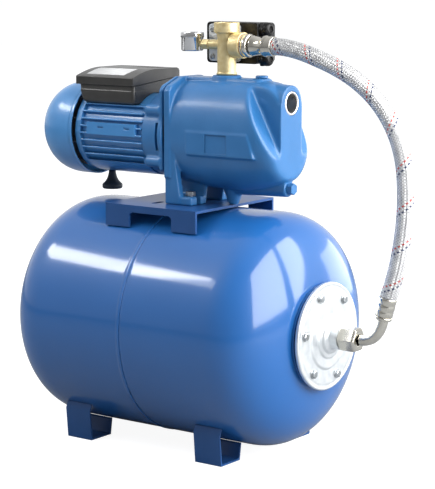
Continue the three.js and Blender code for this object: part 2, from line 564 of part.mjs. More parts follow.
function buildHose() {
  const level = [0, 0, manifold.portZ];
  piece("hose_ring_nut", "chrome", pipe("x", 105.8, 118, 17.4, 8, level, 24));
  const sleeve = [
    [118.4, 0], [118.4, 12], [121, 12], [121, 14.6], [142, 14.6], [143, 15.8], [147, 15.8], [148, 14.8], [159.4, 14.6],
    [159.4, 0],
  ];
  piece("hose_upper_ferrule", "chrome", turned(sleeve, "x", level, 20));
  piece("hose", "braid", swept(hoseRoute, hose.radius, hose.sides, hose.steps));
  piece("elbow", "chrome", join(swept(elbowRoute, 8.2, 10, 9), collar(13.2)));
  piece("hose_lower_ferrule", "chrome", lowerFerrule());
  const nut = cut(hexBar("x", 283.4, 312, 33.4, [0, 0, tank.axisZ + 0.6]), rod("x", 282, 320, 8.6, [0, 0, 207.4], 14));
  piece("union_nut", "chrome", nut);
}

// Pieces on the hose's lower end stand on its last straight line.
function onHoseEnd(solid) {
  const [endX, endZ] = hoseRoute.at(-1);
  const [startX, startZ] = elbowRoute.at(-1);
  const lean = Math.atan2(endX - startX, endZ - startZ);
  const place = new THREE.Matrix4().makeTranslation(startX, 0, startZ);
  place.multiply(new THREE.Matrix4().makeRotationY(lean));
  return solid.transform(place.elements);
}

function collar(radius) {
  return onHoseEnd(turned([[-5, 0], [-5, radius - 1], [-2, radius], [0.5, radius], [0.5, 0]], "z", [0, 0, 0], 20));
}

function lowerFerrule() {
  const profile = [[0.9, 0], [0.9, 12.6], [3, 13.2], [26.5, 13.2], [29.2, 12.8], [29.2, 0]];
  return onHoseEnd(turned(profile, "z", [0, 0, 0], 20));
}

buildTank();
buildFeet();
buildBracket();
buildCasing();
buildHydraulics();
buildMotor();
buildTerminalBox();
buildManifold();
buildSwitch();
buildHose();

export default root;
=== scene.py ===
import math
import bmesh
import bpy
import numpy as np
from mathutils import Matrix, Vector


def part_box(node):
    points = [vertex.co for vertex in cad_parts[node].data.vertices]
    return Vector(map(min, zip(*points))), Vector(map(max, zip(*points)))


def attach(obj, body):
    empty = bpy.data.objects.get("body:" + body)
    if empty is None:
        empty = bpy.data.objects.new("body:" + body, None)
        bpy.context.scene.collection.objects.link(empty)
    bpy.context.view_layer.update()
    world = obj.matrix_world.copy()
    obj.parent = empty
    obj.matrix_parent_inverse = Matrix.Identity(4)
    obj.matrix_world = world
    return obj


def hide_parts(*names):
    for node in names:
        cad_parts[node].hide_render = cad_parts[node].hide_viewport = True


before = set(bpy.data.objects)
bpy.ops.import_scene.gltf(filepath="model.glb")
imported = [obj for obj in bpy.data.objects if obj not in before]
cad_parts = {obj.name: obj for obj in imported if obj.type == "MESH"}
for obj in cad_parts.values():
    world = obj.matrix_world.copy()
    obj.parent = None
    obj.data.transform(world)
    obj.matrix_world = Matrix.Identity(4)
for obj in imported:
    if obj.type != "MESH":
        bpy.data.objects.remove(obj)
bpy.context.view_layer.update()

# A jet pump with its motor on a horizontal blue pressure tank. Dictionaries hold millimetres: x along the
# tank from its middle, y from the plane of the shaft, z with the tank's axis at 207 and the soles at 16.4.
mm = 0.001
seamX = 4.0
tankZ = 207.0
shaftZ = 491.5
soleZ = 16.4
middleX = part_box("tank_front_half")[0].x / mm - seamX  # the tank's middle in the row frame
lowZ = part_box("foot_front_left")[0].z / mm - soleZ
portX = 72.7
portZ = 629.0
suctionZ = 546.8
pump = "pump_set"


def at(x, y, z):
    return Vector(((x + middleX) * mm, y * mm, (z + lowZ) * mm))


cameraSettings = {"place": (1675.4, -2197.3, 760.5), "azimuth": 36.40, "elevation": 9.07, "lens": 133.1}


def makeCamera(settings):
    data = bpy.data.cameras.new("camera")
    camera = bpy.data.objects.new("camera", data)
    bpy.context.scene.collection.objects.link(camera)
    azimuth, elevation = math.radians(settings["azimuth"]), math.radians(settings["elevation"])
    back = Vector((math.sin(azimuth) * math.cos(elevation), -math.cos(azimuth) * math.cos(elevation),
                   math.sin(elevation)))
    camera.location = at(*settings["place"])
    camera.rotation_mode = "QUATERNION"
    camera.rotation_quaternion = (-back).to_track_quat("-Z", "Y")
    data.lens = settings["lens"]
    data.sensor_width = 36
    data.clip_start, data.clip_end = 0.1, 50
    bpy.context.scene.camera = camera


makeCamera(cameraSettings)


def newObject(name, verts, faces, smooth=True):
    mesh = bpy.data.meshes.new(name)
    mesh.from_pydata([tuple(v) for v in verts], [], [list(f) for f in faces])
    mesh.validate()
    mesh.update()
    if smooth:
        mesh.shade_smooth()
    obj = bpy.data.objects.new(name, mesh)
    bpy.context.scene.collection.objects.link(obj)
    return obj


def latheShape(profile, axis, centre, segments=96):
    # profile: (along, radius) pairs
    u, v, w = {"x": (0, 1, 2), "y": (1, 2, 0), "z": (2, 0, 1)}[axis]
    closed = profile[0][1] > 0 or profile[-1][1] > 0
    verts, rows = [], []
    for along, radius in profile:
        if radius <= 1e-6:
            point = list(centre)
            point[u] += along
            rows.append([len(verts)])
            verts.append(at(*point))
            continue
        rows.append(list(range(len(verts), len(verts) + segments)))
        for i in range(segments):
            angle = 2 * math.pi * i / segments
            point = list(centre)
            point[u] += along
            point[v] += radius * math.cos(angle)
            point[w] += radius * math.sin(angle)
            verts.append(at(*point))
    faces = []
    pairs = list(zip(rows, rows[1:])) + ([(rows[-1], rows[0])] if closed else [])
    for a, b in pairs:
        for i in range(segments):
            j = (i + 1) % segments
            if len(a) == 1 and len(b) == 1:
                continue
            if len(a) == 1:
                faces.append((a[0], b[j], b[i]))
            elif len(b) == 1:
                faces.append((a[i], a[j], b[0]))
            else:
                faces.append((a[i], a[j], b[j], b[i]))
    area = sum(p[0] * q[1] - q[0] * p[1] for p, q in zip(profile, profile[1:] + profile[:1]))
    if area > 0:
        faces = [tuple(reversed(f)) for f in faces]
    return verts, faces


def prismShape(outline, axis, start, end):
    # outline: counter-clockwise pairs in (y, z), (x, z) or (x, y)
    def place(a, b, t):
        return {"x": (t, a, b), "y": (a, t, b), "z": (a, b, t)}[axis]
    count = len(outline)
    verts = [at(*place(a, b, t)) for t in (start, end) for a, b in outline]
    faces = [tuple(reversed(range(count))), tuple(range(count, 2 * count))]
    faces += [(i, (i + 1) % count, count + (i + 1) % count, count + i) for i in range(count)]
    area = sum(p[0] * q[1] - q[0] * p[1] for p, q in zip(outline, outline[1:] + outline[:1]))
    if (area < 0) != (axis == "y"):
        faces = [tuple(reversed(f)) for f in faces]
    return verts, faces


def boxShape(x0, x1, y0, y1, z0, z1):
    return prismShape([(y0, z0), (y1, z0), (y1, z1), (y0, z1)], "x", x0, x1)


def rodShape(axis, start, end, radius, centre, segments=48):
    return latheShape([(start, 0), (start, radius), (end, radius), (end, 0)], axis, centre, segments)


def hexShape(axis, start, end, acrossFlats, centre, chamfer=0.8):
    corner = acrossFlats / math.sqrt(3)
    profile = [(start, 0), (start, corner), (end - chamfer, corner), (end, corner - chamfer * 1.6), (end, 0)]
    return latheShape(profile, axis, centre, 6)


def roundedOutline(u0, v0, u1, v1, radius, steps=6):
    corners = [(u1 - radius, v0 + radius, -90), (u1 - radius, v1 - radius, 0), (u0 + radius, v1 - radius, 90),
               (u0 + radius, v0 + radius, 180)]
    points = []
    for cu, cv, start in corners:
        for i in range(steps + 1):
            angle = math.radians(start + 90 * i / steps)
            points.append((cu + radius * math.cos(angle), cv + radius * math.sin(angle)))
    return points


def ringShape(rings):
    # closed body through rings of points, in row-frame metres
    count = len(rings[0])
    verts = [p for ring in rings for p in ring]
    faces = []
    for k in range(len(rings) - 1):
        for i in range(count):
            a, b = k * count + i, k * count + (i + 1) % count
            faces.append((a, b, b + count, a + count))
    faces.append(tuple(reversed(range(count))))
    faces.append(tuple(range((len(rings) - 1) * count, len(rings) * count)))
    return verts, faces


def joined(name, *shapes, smooth=True):
    verts, faces = [], []
    for shapeVerts, shapeFaces in shapes:
        base = len(verts)
        verts += shapeVerts
        faces += [tuple(base + i for i in f) for f in shapeFaces]
    return newObject(name, verts, faces, smooth)


def modify(obj, kind, **settings):
    modifier = obj.modifiers.new(kind.lower(), kind)
    for key, value in settings.items():
        setattr(modifier, key, value)
    return modifier


def bake(obj):
    bpy.context.view_layer.update()
    evaluated = obj.evaluated_get(bpy.context.evaluated_depsgraph_get())
    mesh = bpy.data.meshes.new_from_object(evaluated)
    mesh.name = obj.name
    obj.modifiers.clear()
    obj.data = mesh
    return obj


def cutAway(obj, *tools):
    for i, shape in enumerate(tools):
        tool = joined(obj.name + "Tool" + str(i), shape, smooth=False)
        skin = bmesh.new()  # merged and turned outwards, or the cut is lost
        skin.from_mesh(tool.data)
        bmesh.ops.remove_doubles(skin, verts=skin.verts, dist=1e-6)
        bmesh.ops.recalc_face_normals(skin, faces=skin.faces)
        skin.to_mesh(tool.data)
        skin.free()
        modify(obj, "BOOLEAN", object=tool, operation="DIFFERENCE", solver="EXACT")
        bake(obj)
        bpy.data.objects.remove(tool)
    return obj


def eased(obj, width=0.5, segments=2, angle=30):
    # small round on every sharp edge, the way a moulded or tumbled part has it
    modify(obj, "BEVEL", width=width * mm, segments=segments, limit_method="ANGLE", harden_normals=True,
           angle_limit=math.radians(angle), use_clamp_overlap=True)
    bake(obj)
    obj.data.shade_smooth()
    modify(obj, "WEIGHTED_NORMAL", keep_sharp=True, weight=60)
    return bake(obj)


def castBody(obj, voxel=1.5, rounds=5):
    # one skin over overlapping solids, its inner corners filled as a casting's are
    modify(obj, "REMESH", mode="VOXEL", voxel_size=voxel * mm, adaptivity=0)
    bake(obj)
    modify(obj, "SMOOTH", factor=0.5, iterations=rounds)
    bake(obj)
    obj.data.shade_smooth()
    return obj


def copyOf(name, node):
    # a welded copy of a solid, its flat faces whole again
    obj = bpy.data.objects.new(name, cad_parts[node].data.copy())
    bpy.context.scene.collection.objects.link(obj)
    obj.data.materials.clear()
    modify(obj, "WELD", merge_threshold=2e-5)
    modify(obj, "DECIMATE", decimate_type="DISSOLVE", angle_limit=math.radians(0.4))
    return bake(obj)


def shiftless(shape):
    # the same shape drawn about the row frame's own origin
    verts, faces = shape
    return [v - at(0, 0, 0) for v in verts], faces


def shapeOf(obj):
    return [v.co.copy() for v in obj.data.vertices], [tuple(p.vertices) for p in obj.data.polygons]


def use(obj, material, slot, *nodes, body=pump):
    obj.data.materials.clear()
    obj.data.materials.append(material)
    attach(obj, body)
    if nodes:
        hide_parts(*nodes)
    return obj


def colour(hexText):
    channels = [int(hexText[i:i + 2], 16) / 255 for i in (1, 3, 5)]
    linear = [c / 12.92 if c <= 0.04045 else ((c + 0.055) / 1.055) ** 2.4 for c in channels]
    return (*linear, 1.0)


def newMaterial(name):
    material = bpy.data.materials.new(name)
    material.use_nodes = True
    tree = material.node_tree
    shader = tree.nodes["Principled BSDF"]
    return material, tree, shader


def addNode(tree, kind, settings=None, inputs=None, links=None):
    # settings are properties; a socket's input is a value or the output socket that feeds it
    node = tree.nodes.new(kind)
    for key, value in (settings or {}).items():
        setattr(node, key, value)
    for key, value in {**(inputs or {}), **(links or {})}.items():
        if isinstance(value, bpy.types.NodeSocket):
            tree.links.new(value, node.inputs[key])
        else:
            node.inputs[key].default_value = value
    return node


def patches(tree, sizeMm, detail, low, high):
    # a slow drift from low to high in patches of sizeMm
    coords = addNode(tree, "ShaderNodeTexCoord")
    noise = addNode(tree, "ShaderNodeTexNoise", inputs={"Scale": 1000 / sizeMm, "Detail": detail},
                    links={"Vector": coords.outputs["Object"]})
    drift = addNode(tree, "ShaderNodeMapRange",
                    inputs={"From Min": 0.3, "From Max": 0.7, "To Min": low, "To Max": high},
                    links={"Value": noise.outputs["Fac"]})
    return drift.outputs["Result"]


def surface(name, base, other, patchMm, roughness, metallic=0.0, bumpMm=None, depthMm=0.02, coat=0.0,
            coatRoughness=0.05, roughSpread=0.05, specular=0.5):
    # a finish that varies in patches of patchMm, with relief of bumpMm grains depthMm deep
    material, tree, shader = newMaterial(name)
    tint = addNode(tree, "ShaderNodeMix", {"data_type": "RGBA"}, {6: colour(base), 7: colour(other)},
                   {0: patches(tree, patchMm, 4, 0, 1)})
    tree.links.new(tint.outputs[2], shader.inputs["Base Color"])
    worn = patches(tree, patchMm, 4, roughness - roughSpread, roughness + roughSpread)
    tree.links.new(worn, shader.inputs["Roughness"])
    shader.inputs["Metallic"].default_value = metallic
    shader.inputs["Coat Weight"].default_value = coat
    shader.inputs["Coat Roughness"].default_value = coatRoughness
    shader.inputs["Specular IOR Level"].default_value = specular
    if bumpMm:
        coords = addNode(tree, "ShaderNodeTexCoord")
        relief = addNode(tree, "ShaderNodeTexNoise", inputs={"Scale": 1000 / bumpMm, "Detail": 2},
                         links={"Vector": coords.outputs["Object"]})
        bump = addNode(tree, "ShaderNodeBump", inputs={"Strength": 1.0, "Distance": depthMm * mm},
                       links={"Height": relief.outputs["Fac"]})
        tree.links.new(bump.outputs["Normal"], shader.inputs["Normal"])
    return material


# Stoving enamel on drawn steel: deep glossy blue with the faint orange peel of a sprayed coat
tankEnamel = surface("blueStovingEnamel", "#185799", "#1a5a9d", 130, 0.42, bumpMm=14, depthMm=0.01, coat=1.0,
                     coatRoughness=0.11, roughSpread=0.02, specular=0.25)
# Paint over sand-cast iron: the grain of the mould still shows under a semi-gloss coat
castPaint = surface("bluePaintOnCastIron", "#26659c", "#2c6ba4", 30, 0.42, bumpMm=2.4, depthMm=0.1, coat=0.35,
                    coatRoughness=0.2, roughSpread=0.04, specular=0.4)
# The same paint on the motor's die-cast aluminium, finer in its grain
motorPaint = surface("bluePaintOnAluminium", "#3b7db8", "#4183be", 30, 0.36, bumpMm=1.6, depthMm=0.04,
                     coat=0.6, coatRoughness=0.14, roughSpread=0.03, specular=0.4)
# Enamel dipped over folded sheet: thicker and duller on the feet and the saddle plate
sheetPaint = surface("blueEnamelOnSheet", "#1a4479", "#1f4a81", 45, 0.4, bumpMm=7, depthMm=0.02, coat=0.2,
                     coatRoughness=0.16, roughSpread=0.03, specular=0.3)
# Passivated zinc: pale grey-white, faintly spangled
zincPlate = surface("passivatedZinc", "#dde2e5", "#eef1f3", 12, 0.36, metallic=0.8, bumpMm=1.2, depthMm=0.02)
boltSteel = surface("galvanisedSteel", "#a9adb0", "#c6cacd", 4, 0.34, metallic=1.0, bumpMm=1.0, depthMm=0.03)
groundSteel = surface("groundSteel", "#d8d6d3", "#e4e2df", 8, 0.3, metallic=0.9, bumpMm=0.6, depthMm=0.01)
# Nickel over brass: a warm grey mirror, a little softer than chrome
nickelPlate = surface("nickelPlatedBrass", "#c9c5bb", "#d8d4ca", 14, 0.16, metallic=1.0, bumpMm=2,
                      depthMm=0.008)
brightChrome = surface("brightChrome", "#d3d3d5", "#dededf", 20, 0.09, metallic=1.0, roughSpread=0.02)
# Brass as it comes from the foundry, blasted and left bare: pale straw with a soft sheen
yellowBrass = surface("blastedBrass", "#d8c490", "#e6d6a8", 7, 0.5, metallic=0.85, bumpMm=1.1, depthMm=0.05)
copperRing = surface("copperWasher", "#b5673a", "#c47a4b", 5, 0.35, metallic=1.0)
copperWire = surface("varnishedCopper", "#a2592c", "#b56a35", 3, 0.4, metallic=1.0, bumpMm=1.2, depthMm=0.2)
bareIron = surface("bareCastIron", "#4a4d50", "#5b5e61", 6, 0.6, metallic=0.7, bumpMm=1.5, depthMm=0.08)
# Moulded ABS: near black, with the fine spark-eroded texture of the mould
blackAbs = surface("blackMouldedAbs", "#070707", "#0d0d0e", 12, 0.36, bumpMm=1.0, depthMm=0.02, specular=0.3)
greyAbs = surface("darkMouldedAbs", "#2a2928", "#333231", 16, 0.34, bumpMm=1.4, depthMm=0.04, specular=0.6)
paleAbs = surface("greyMouldedAbs", "#6f7275", "#7a7d80", 16, 0.45, bumpMm=0.9, depthMm=0.03)
softRubber = surface("mouldedRubber", "#101d2b", "#162534", 10, 0.6, bumpMm=0.9, depthMm=0.04)
blackGasket = surface("blackFibreGasket", "#101216", "#191c20", 6, 0.75, bumpMm=0.8, depthMm=0.05)
blankLabel = surface("blankFoilLabel", "#c4c5c6", "#cfd0d1", 30, 0.42, metallic=0.2)
dialWhite = surface("whiteDialCard", "#eceee9", "#f3f4f0", 10, 0.5)
dialInk = surface("blackDialInk", "#101112", "#17181a", 5, 0.5)
needleRed = surface("redNeedlePaint", "#a81f1c", "#b82824", 5, 0.35)


def makeGlass():
    material, _, shader = newMaterial("clearGaugeGlass")
    shader.inputs["Base Color"].default_value = colour("#f4f8f8")
    shader.inputs["Roughness"].default_value = 0.03
    shader.inputs["Transmission Weight"].default_value = 1.0
    shader.inputs["IOR"].default_value = 1.45
    return material


clearGlass = makeGlass()
print("materials ready")

hoseSettings = {
    "radius": 12.2, "relief": 0.55, "around": 108, "step": 0.95,
    "pitch": 58.0,  # one turn of a braid carrier along the hose
    "carriers": 14,
    "route": [
        (160.3, 629), (178, 628), (205, 623), (238, 613), (270, 601), (303, 584), (334, 560), (358, 531),
        (374, 500), (383, 466), (386, 430), (385.5, 396), (381.5, 360), (375, 325), (367.5, 298),
        (360.5, 277.8)],
}


def smoothRoute(points, step):
    # centripetal spline through (x, z) points, read off at even steps
    ends = [tuple(2 * a - b for a, b in zip(points[0], points[1])),
            tuple(2 * a - b for a, b in zip(points[-1], points[-2]))]
    knots = [ends[0], *points, ends[1]]
    fine = []
    for p0, p1, p2, p3 in zip(knots, knots[1:], knots[2:], knots[3:]):
        p = [np.array(q, float) for q in (p0, p1, p2, p3)]
        t = np.cumsum([0] + [max(np.linalg.norm(b - a) ** 0.5, 1e-6) for a, b in zip(p, p[1:])])
        for s in np.linspace(t[1], t[2], 40, endpoint=False):
            a1 = (t[1] - s) / (t[1] - t[0]) * p[0] + (s - t[0]) / (t[1] - t[0]) * p[1]
            a2 = (t[2] - s) / (t[2] - t[1]) * p[1] + (s - t[1]) / (t[2] - t[1]) * p[2]
            a3 = (t[3] - s) / (t[3] - t[2]) * p[2] + (s - t[2]) / (t[3] - t[2]) * p[3]
            b1 = (t[2] - s) / (t[2] - t[0]) * a1 + (s - t[0]) / (t[2] - t[0]) * a2
            b2 = (t[3] - s) / (t[3] - t[1]) * a2 + (s - t[1]) / (t[3] - t[1]) * a3
            fine.append((t[2] - s) / (t[2] - t[1]) * b1 + (s - t[1]) / (t[2] - t[1]) * b2)
    fine.append(np.array(points[-1], float))
    fine = np.array(fine)
    run = np.concatenate([[0], np.cumsum(np.linalg.norm(np.diff(fine, axis=0), axis=1))])
    count = max(2, round(run[-1] / step))
    even = np.linspace(0, run[-1], count + 1)
    return np.stack([np.interp(even, run, fine[:, k]) for k in (0, 1)], axis=1), run[-1]


def weaveHeight(turn, along, settings):
    # 0 to 1: how far the wires stand up, turn 0 to 1 round the hose and along in mm
    count = settings["carriers"]
    a = (turn + along / settings["pitch"]) * count
    b = (turn - along / settings["pitch"]) * count
    over = 0.5 + 0.5 * np.sin(np.pi * a) * np.sin(np.pi * b)
    groove = np.minimum(np.abs(np.sin(np.pi * a)), 1) ** 0.4 * np.minimum(np.abs(np.sin(np.pi * b)), 1) ** 0.4
    return 0.35 * over + 0.65 * groove


def sweepShape(line, radiusAt, around):
    # tube along an (x, z) line in the plane y = 0, with flat closed ends
    tangents = np.gradient(line, axis=0)
    tangents /= np.linalg.norm(tangents, axis=1)[:, None]
    runs = np.concatenate([[0], np.cumsum(np.linalg.norm(np.diff(line, axis=0), axis=1))])
    rings = []
    for (x, z), (tx, tz), run in zip(line, tangents, runs):
        ring = []
        for i in range(around):
            turn = i / around
            radius = radiusAt(turn, run)
            across, up = math.cos(2 * math.pi * turn) * radius, math.sin(2 * math.pi * turn) * radius
            ring.append(at(x - tz * up, -across, z + tx * up))
        rings.append(ring)
    verts, faces = ringShape(rings)
    return verts, [tuple(reversed(f)) for f in faces], runs


def makeHose(settings):
    line, length = smoothRoute(settings["route"], settings["step"])
    around = settings["around"]

    def radiusAt(turn, run):
        return settings["radius"] + settings["relief"] * float(weaveHeight(turn, run, settings))
    verts, faces, runs = sweepShape(line, radiusAt, around)
    hose = newObject("hose_braid", verts, faces)
    uv = hose.data.uv_layers.new(name="alongHose")
    place = {}
    for k in range(len(runs)):
        for i in range(around):
            place[k * around + i] = (i / around, runs[k] * mm)
    for polygon in hose.data.polygons:
        corners = [place[hose.data.loops[l].vertex_index] for l in polygon.loop_indices]
        wraps = max(c[0] for c in corners) - min(c[0] for c in corners) > 0.5 and len(corners) == 4
        for l, (u, v) in zip(polygon.loop_indices, corners):
            uv.data[l].uv = (u + 1 if wraps and u < 0.5 else u, v)
    path = [at(x, 0, z) for x, z in line[::8]] + [at(line[-1][0], 0, line[-1][1])]
    return hose, path, length


def braidMaterial(settings):
    # Stainless wire braid: pale bundles of fine wires, one red and one blue tracer thread side by side
    material, tree, shader = newMaterial("stainlessWireBraid")
    uv = addNode(tree, "ShaderNodeUVMap", {"uv_map": "alongHose"})
    parts = addNode(tree, "ShaderNodeSeparateXYZ", links={"Vector": uv.outputs["UV"]})
    count, wiresEach, tracerHalf = settings["carriers"], 5, 0.34
    known = {"around": parts.outputs["X"], "along": parts.outputs["Y"]}
    steps = [
        ("turns", "MULTIPLY", "along", 1000 / settings["pitch"]),
        ("right", "ADD", "around", "turns"), ("left", "SUBTRACT", "around", "turns"),
        ("rightPhase", "MULTIPLY", "right", math.pi * count), ("rightWave", "SINE", "rightPhase"),
        ("leftPhase", "MULTIPLY", "left", math.pi * count), ("leftWave", "SINE", "leftPhase"),
        ("crossing", "MULTIPLY", "rightWave", "leftWave"), ("over", "GREATER_THAN", "crossing", -0.15),
    ]
    for tracer, carrier in (("red", 1.5), ("blue", 3.5)):
        steps += [
            (tracer + "Shift", "ADD", "right", 0.5 - carrier / count),
            (tracer + "Turn", "FRACT", tracer + "Shift"),
            (tracer + "Side", "SUBTRACT", tracer + "Turn", 0.5),
            (tracer + "Far", "ABSOLUTE", tracer + "Side"),
            (tracer + "Near", "LESS_THAN", tracer + "Far", tracerHalf / count),
            (tracer, "MULTIPLY", tracer + "Near", "over"),
        ]
    for side in ("right", "left"):
        steps += [
            (side + "Fine", "MULTIPLY", side, math.pi * 2 * count * wiresEach),
            (side + "Wires", "SINE", side + "Fine"),
            (side + "Ridge", "ABSOLUTE", side + "Wave"), (side + "Groove", "POWER", side + "Ridge", 0.5),
        ]
    steps += [
        ("grooves", "MULTIPLY", "rightGroove", "leftGroove"), ("threads", "ADD", "red", "blue"),
        ("textile", "MULTIPLY", "threads", 0.8), ("bare", "SUBTRACT", 0.85, "textile"),
    ]
    for name, operation, *values in steps:
        wires = {i: known.get(v, v) for i, v in enumerate(values)}
        known[name] = addNode(tree, "ShaderNodeMath", {"operation": operation}, wires).outputs[0]
    fine = addNode(tree, "ShaderNodeMix", {"data_type": "FLOAT"},
                   links={0: known["over"], 2: known["leftWires"], 3: known["rightWires"]})
    steel = addNode(tree, "ShaderNodeMix", {"data_type": "RGBA"},
                    {6: colour("#c4c4c6"), 7: colour("#dededd")}, {0: patches(tree, 8, 3, 0, 1)})
    # painted shade: the grooves between the wire bundles are mixed towards dark grey, the deeper the darker
    depth = addNode(tree, "ShaderNodeMapRange",
                    inputs={"From Min": 0.05, "From Max": 0.5, "To Min": 0, "To Max": 1},
                    links={"Value": known["grooves"]})
    paintedGrooveShade = addNode(tree, "ShaderNodeMix", {"data_type": "RGBA"}, {6: colour("#75767a")},
                    {0: depth.outputs["Result"], 7: steel.outputs[2]})
    withRed = addNode(tree, "ShaderNodeMix", {"data_type": "RGBA"}, {7: colour("#b8433c")},
                      {0: known["red"], 6: paintedGrooveShade.outputs[2]})
    withBlue = addNode(tree, "ShaderNodeMix", {"data_type": "RGBA"}, {7: colour("#263258")},
                       {0: known["blue"], 6: withRed.outputs[2]})
    tree.links.new(withBlue.outputs[2], shader.inputs["Base Color"])
    tree.links.new(known["bare"], shader.inputs["Metallic"])
    shader.inputs["Roughness"].default_value = 0.38
    bump = addNode(tree, "ShaderNodeBump", inputs={"Strength": 0.8, "Distance": 0.12 * mm},
                   links={"Height": fine.outputs[0]})
    tree.links.new(bump.outputs["Normal"], shader.inputs["Normal"])
    return material


hosePiece, hosePath, hoseLength = makeHose(hoseSettings)
use(hosePiece, braidMaterial(hoseSettings), "steel_braid", "hose")
print("hose", round(hoseLength), "mm")

tankSettings = {"radius": 177, "half": 151.5, "dome": 99.5, "power": 2.55, "wall": 2.5, "mouth": 61,
                "bead": 0.9}


def domeProfile(start, depth, radius, power, side, fromRadius, steps):
    last = math.acos((fromRadius / radius) ** (power / 2)) if fromRadius > 0 else math.pi / 2
    points = []
    for i in range(steps + 1):
        angle = last * i / steps
        along = start + side * depth * max(math.sin(angle), 0) ** (2 / power)
        points.append((along, radius * max(math.cos(angle), 0) ** (2 / power)))
    return points


def makeTank(s):
    for name, side, node, hole in (("tank_rear", -1, "tank_rear_half", 5.5),
                                   ("tank_front", 1, "tank_front_half", s["mouth"])):
        outer = domeProfile(side * s["half"], s["dome"], s["radius"], s["power"], side, hole, 48)
        inner = domeProfile(side * s["half"], s["dome"] - s["wall"], s["radius"] - s["wall"], s["power"],
                            side, hole, 16)
        edge = seamX - 0.3 if side < 0 else seamX
        seam = [(edge, s["radius"] - s["wall"])]
        if side < 0:
            seam += [(edge, s["radius"] + 0.2), (edge - 0.6, s["radius"] + s["bead"] * 0.8),
                     (edge - 2.4, s["radius"] + s["bead"]), (edge - 4.6, s["radius"] + s["bead"] * 0.7),
                     (edge - 6, s["radius"] + 0.05), (edge - 8, s["radius"]), (edge - 13, s["radius"])]
        else:
            seam += [(edge, s["radius"] - 0.5), (edge + 0.5, s["radius"]), (edge + 5, s["radius"])]
        profile = outer + inner[::-1] + seam
        shell = joined(name + "_shell", latheShape(profile, "x", (0, 0, tankZ), 144))
        use(shell, tankEnamel, "tank_blue", node)
    for node in ("foot_front_left", "foot_rear_left", "foot_front_right", "foot_rear_right"):
        use(eased(copyOf(node + "_sheet", node), 0.8, 3), sheetPaint, "tank_blue", node)
    use(eased(copyOf("bracket_sheet", "pump_bracket"), 1.0, 3), sheetPaint, "tank_blue", "pump_bracket")


makeTank(tankSettings)
print("tank ready")

flangeSettings = {"face": 258.6, "back": 252.6, "radius": 80.5, "boltCircle": 64, "bolts": 6, "turn": -9}


def geometryTree(name, inputs):
    # a node tree with named inputs; returns the tree, the group's inputs and its output node
    tree = bpy.data.node_groups.new(name, "GeometryNodeTree")
    tree.interface.new_socket(name="Geometry", in_out="OUTPUT", socket_type="NodeSocketGeometry")
    kinds = {float: "NodeSocketFloat", int: "NodeSocketInt", Vector: "NodeSocketVector",
             bpy.types.Object: "NodeSocketObject", bpy.types.Material: "NodeSocketMaterial"}
    for label, kind in inputs.items():
        tree.interface.new_socket(name=label, in_out="INPUT", socket_type=kinds[kind])
    return tree, tree.nodes.new("NodeGroupInput"), tree.nodes.new("NodeGroupOutput")


def ranTree(name, tree, values):
    # the tree's result as one plain mesh object
    obj = newObject(name, [], [])
    modifier = obj.modifiers.new(name, "NODES")
    modifier.node_group = tree
    for item in tree.interface.items_tree:
        if item.in_out == "INPUT" and item.name in values:
            modifier[item.identifier] = values[item.name]
    return bake(obj)


def boltRingTree():
    tree, given, result = geometryTree("boltRing", {
        "Bolt": bpy.types.Object, "Count": int, "Radius": float, "Turn": float, "Centre": Vector,
        "Finish": bpy.types.Material})
    line = addNode(tree, "GeometryNodeMeshLine", {"mode": "OFFSET"}, links={"Count": given.outputs["Count"]})
    index = addNode(tree, "GeometryNodeInputIndex")
    roll = 0.37  # each hexagon stopped at its own angle when it was tightened
    known = {"index": index.outputs[0],
             **{label: given.outputs[label] for label in ("Count", "Radius", "Turn")}}
    steps = [
        ("step", "DIVIDE", 2 * math.pi, "Count"), ("angle", "MULTIPLY_ADD", "index", "step", "Turn"),
        ("cosine", "COSINE", "angle"), ("across", "MULTIPLY", "cosine", "Radius"),
        ("sine", "SINE", "angle"), ("up", "MULTIPLY", "sine", "Radius"), ("roll", "MULTIPLY", "index", roll),
    ]
    for name, operation, *values in steps:
        wires = {i: known.get(v, v) for i, v in enumerate(values)}
        known[name] = addNode(tree, "ShaderNodeMath", {"operation": operation}, wires).outputs[0]
    offset = addNode(tree, "ShaderNodeCombineXYZ", links={"Y": known["across"], "Z": known["up"]})
    place = addNode(tree, "ShaderNodeVectorMath", {"operation": "ADD"},
                    links={0: offset.outputs[0], 1: given.outputs["Centre"]})
    points = addNode(tree, "GeometryNodeSetPosition",
                     links={"Geometry": line.outputs[0], "Position": place.outputs[0]})
    bolt = addNode(tree, "GeometryNodeObjectInfo", links={"Object": given.outputs["Bolt"]})
    spin = addNode(tree, "ShaderNodeCombineXYZ", links={"X": known["roll"]})
    copies = addNode(tree, "GeometryNodeInstanceOnPoints",
                     links={"Points": points.outputs[0], "Instance": bolt.outputs["Geometry"],
                            "Rotation": spin.outputs[0]})
    real = addNode(tree, "GeometryNodeRealizeInstances", links={"Geometry": copies.outputs[0]})
    finished = addNode(tree, "GeometryNodeSetMaterial",
                       links={"Geometry": real.outputs[0], "Material": given.outputs["Finish"]})
    tree.links.new(finished.outputs[0], result.inputs[0])
    return tree


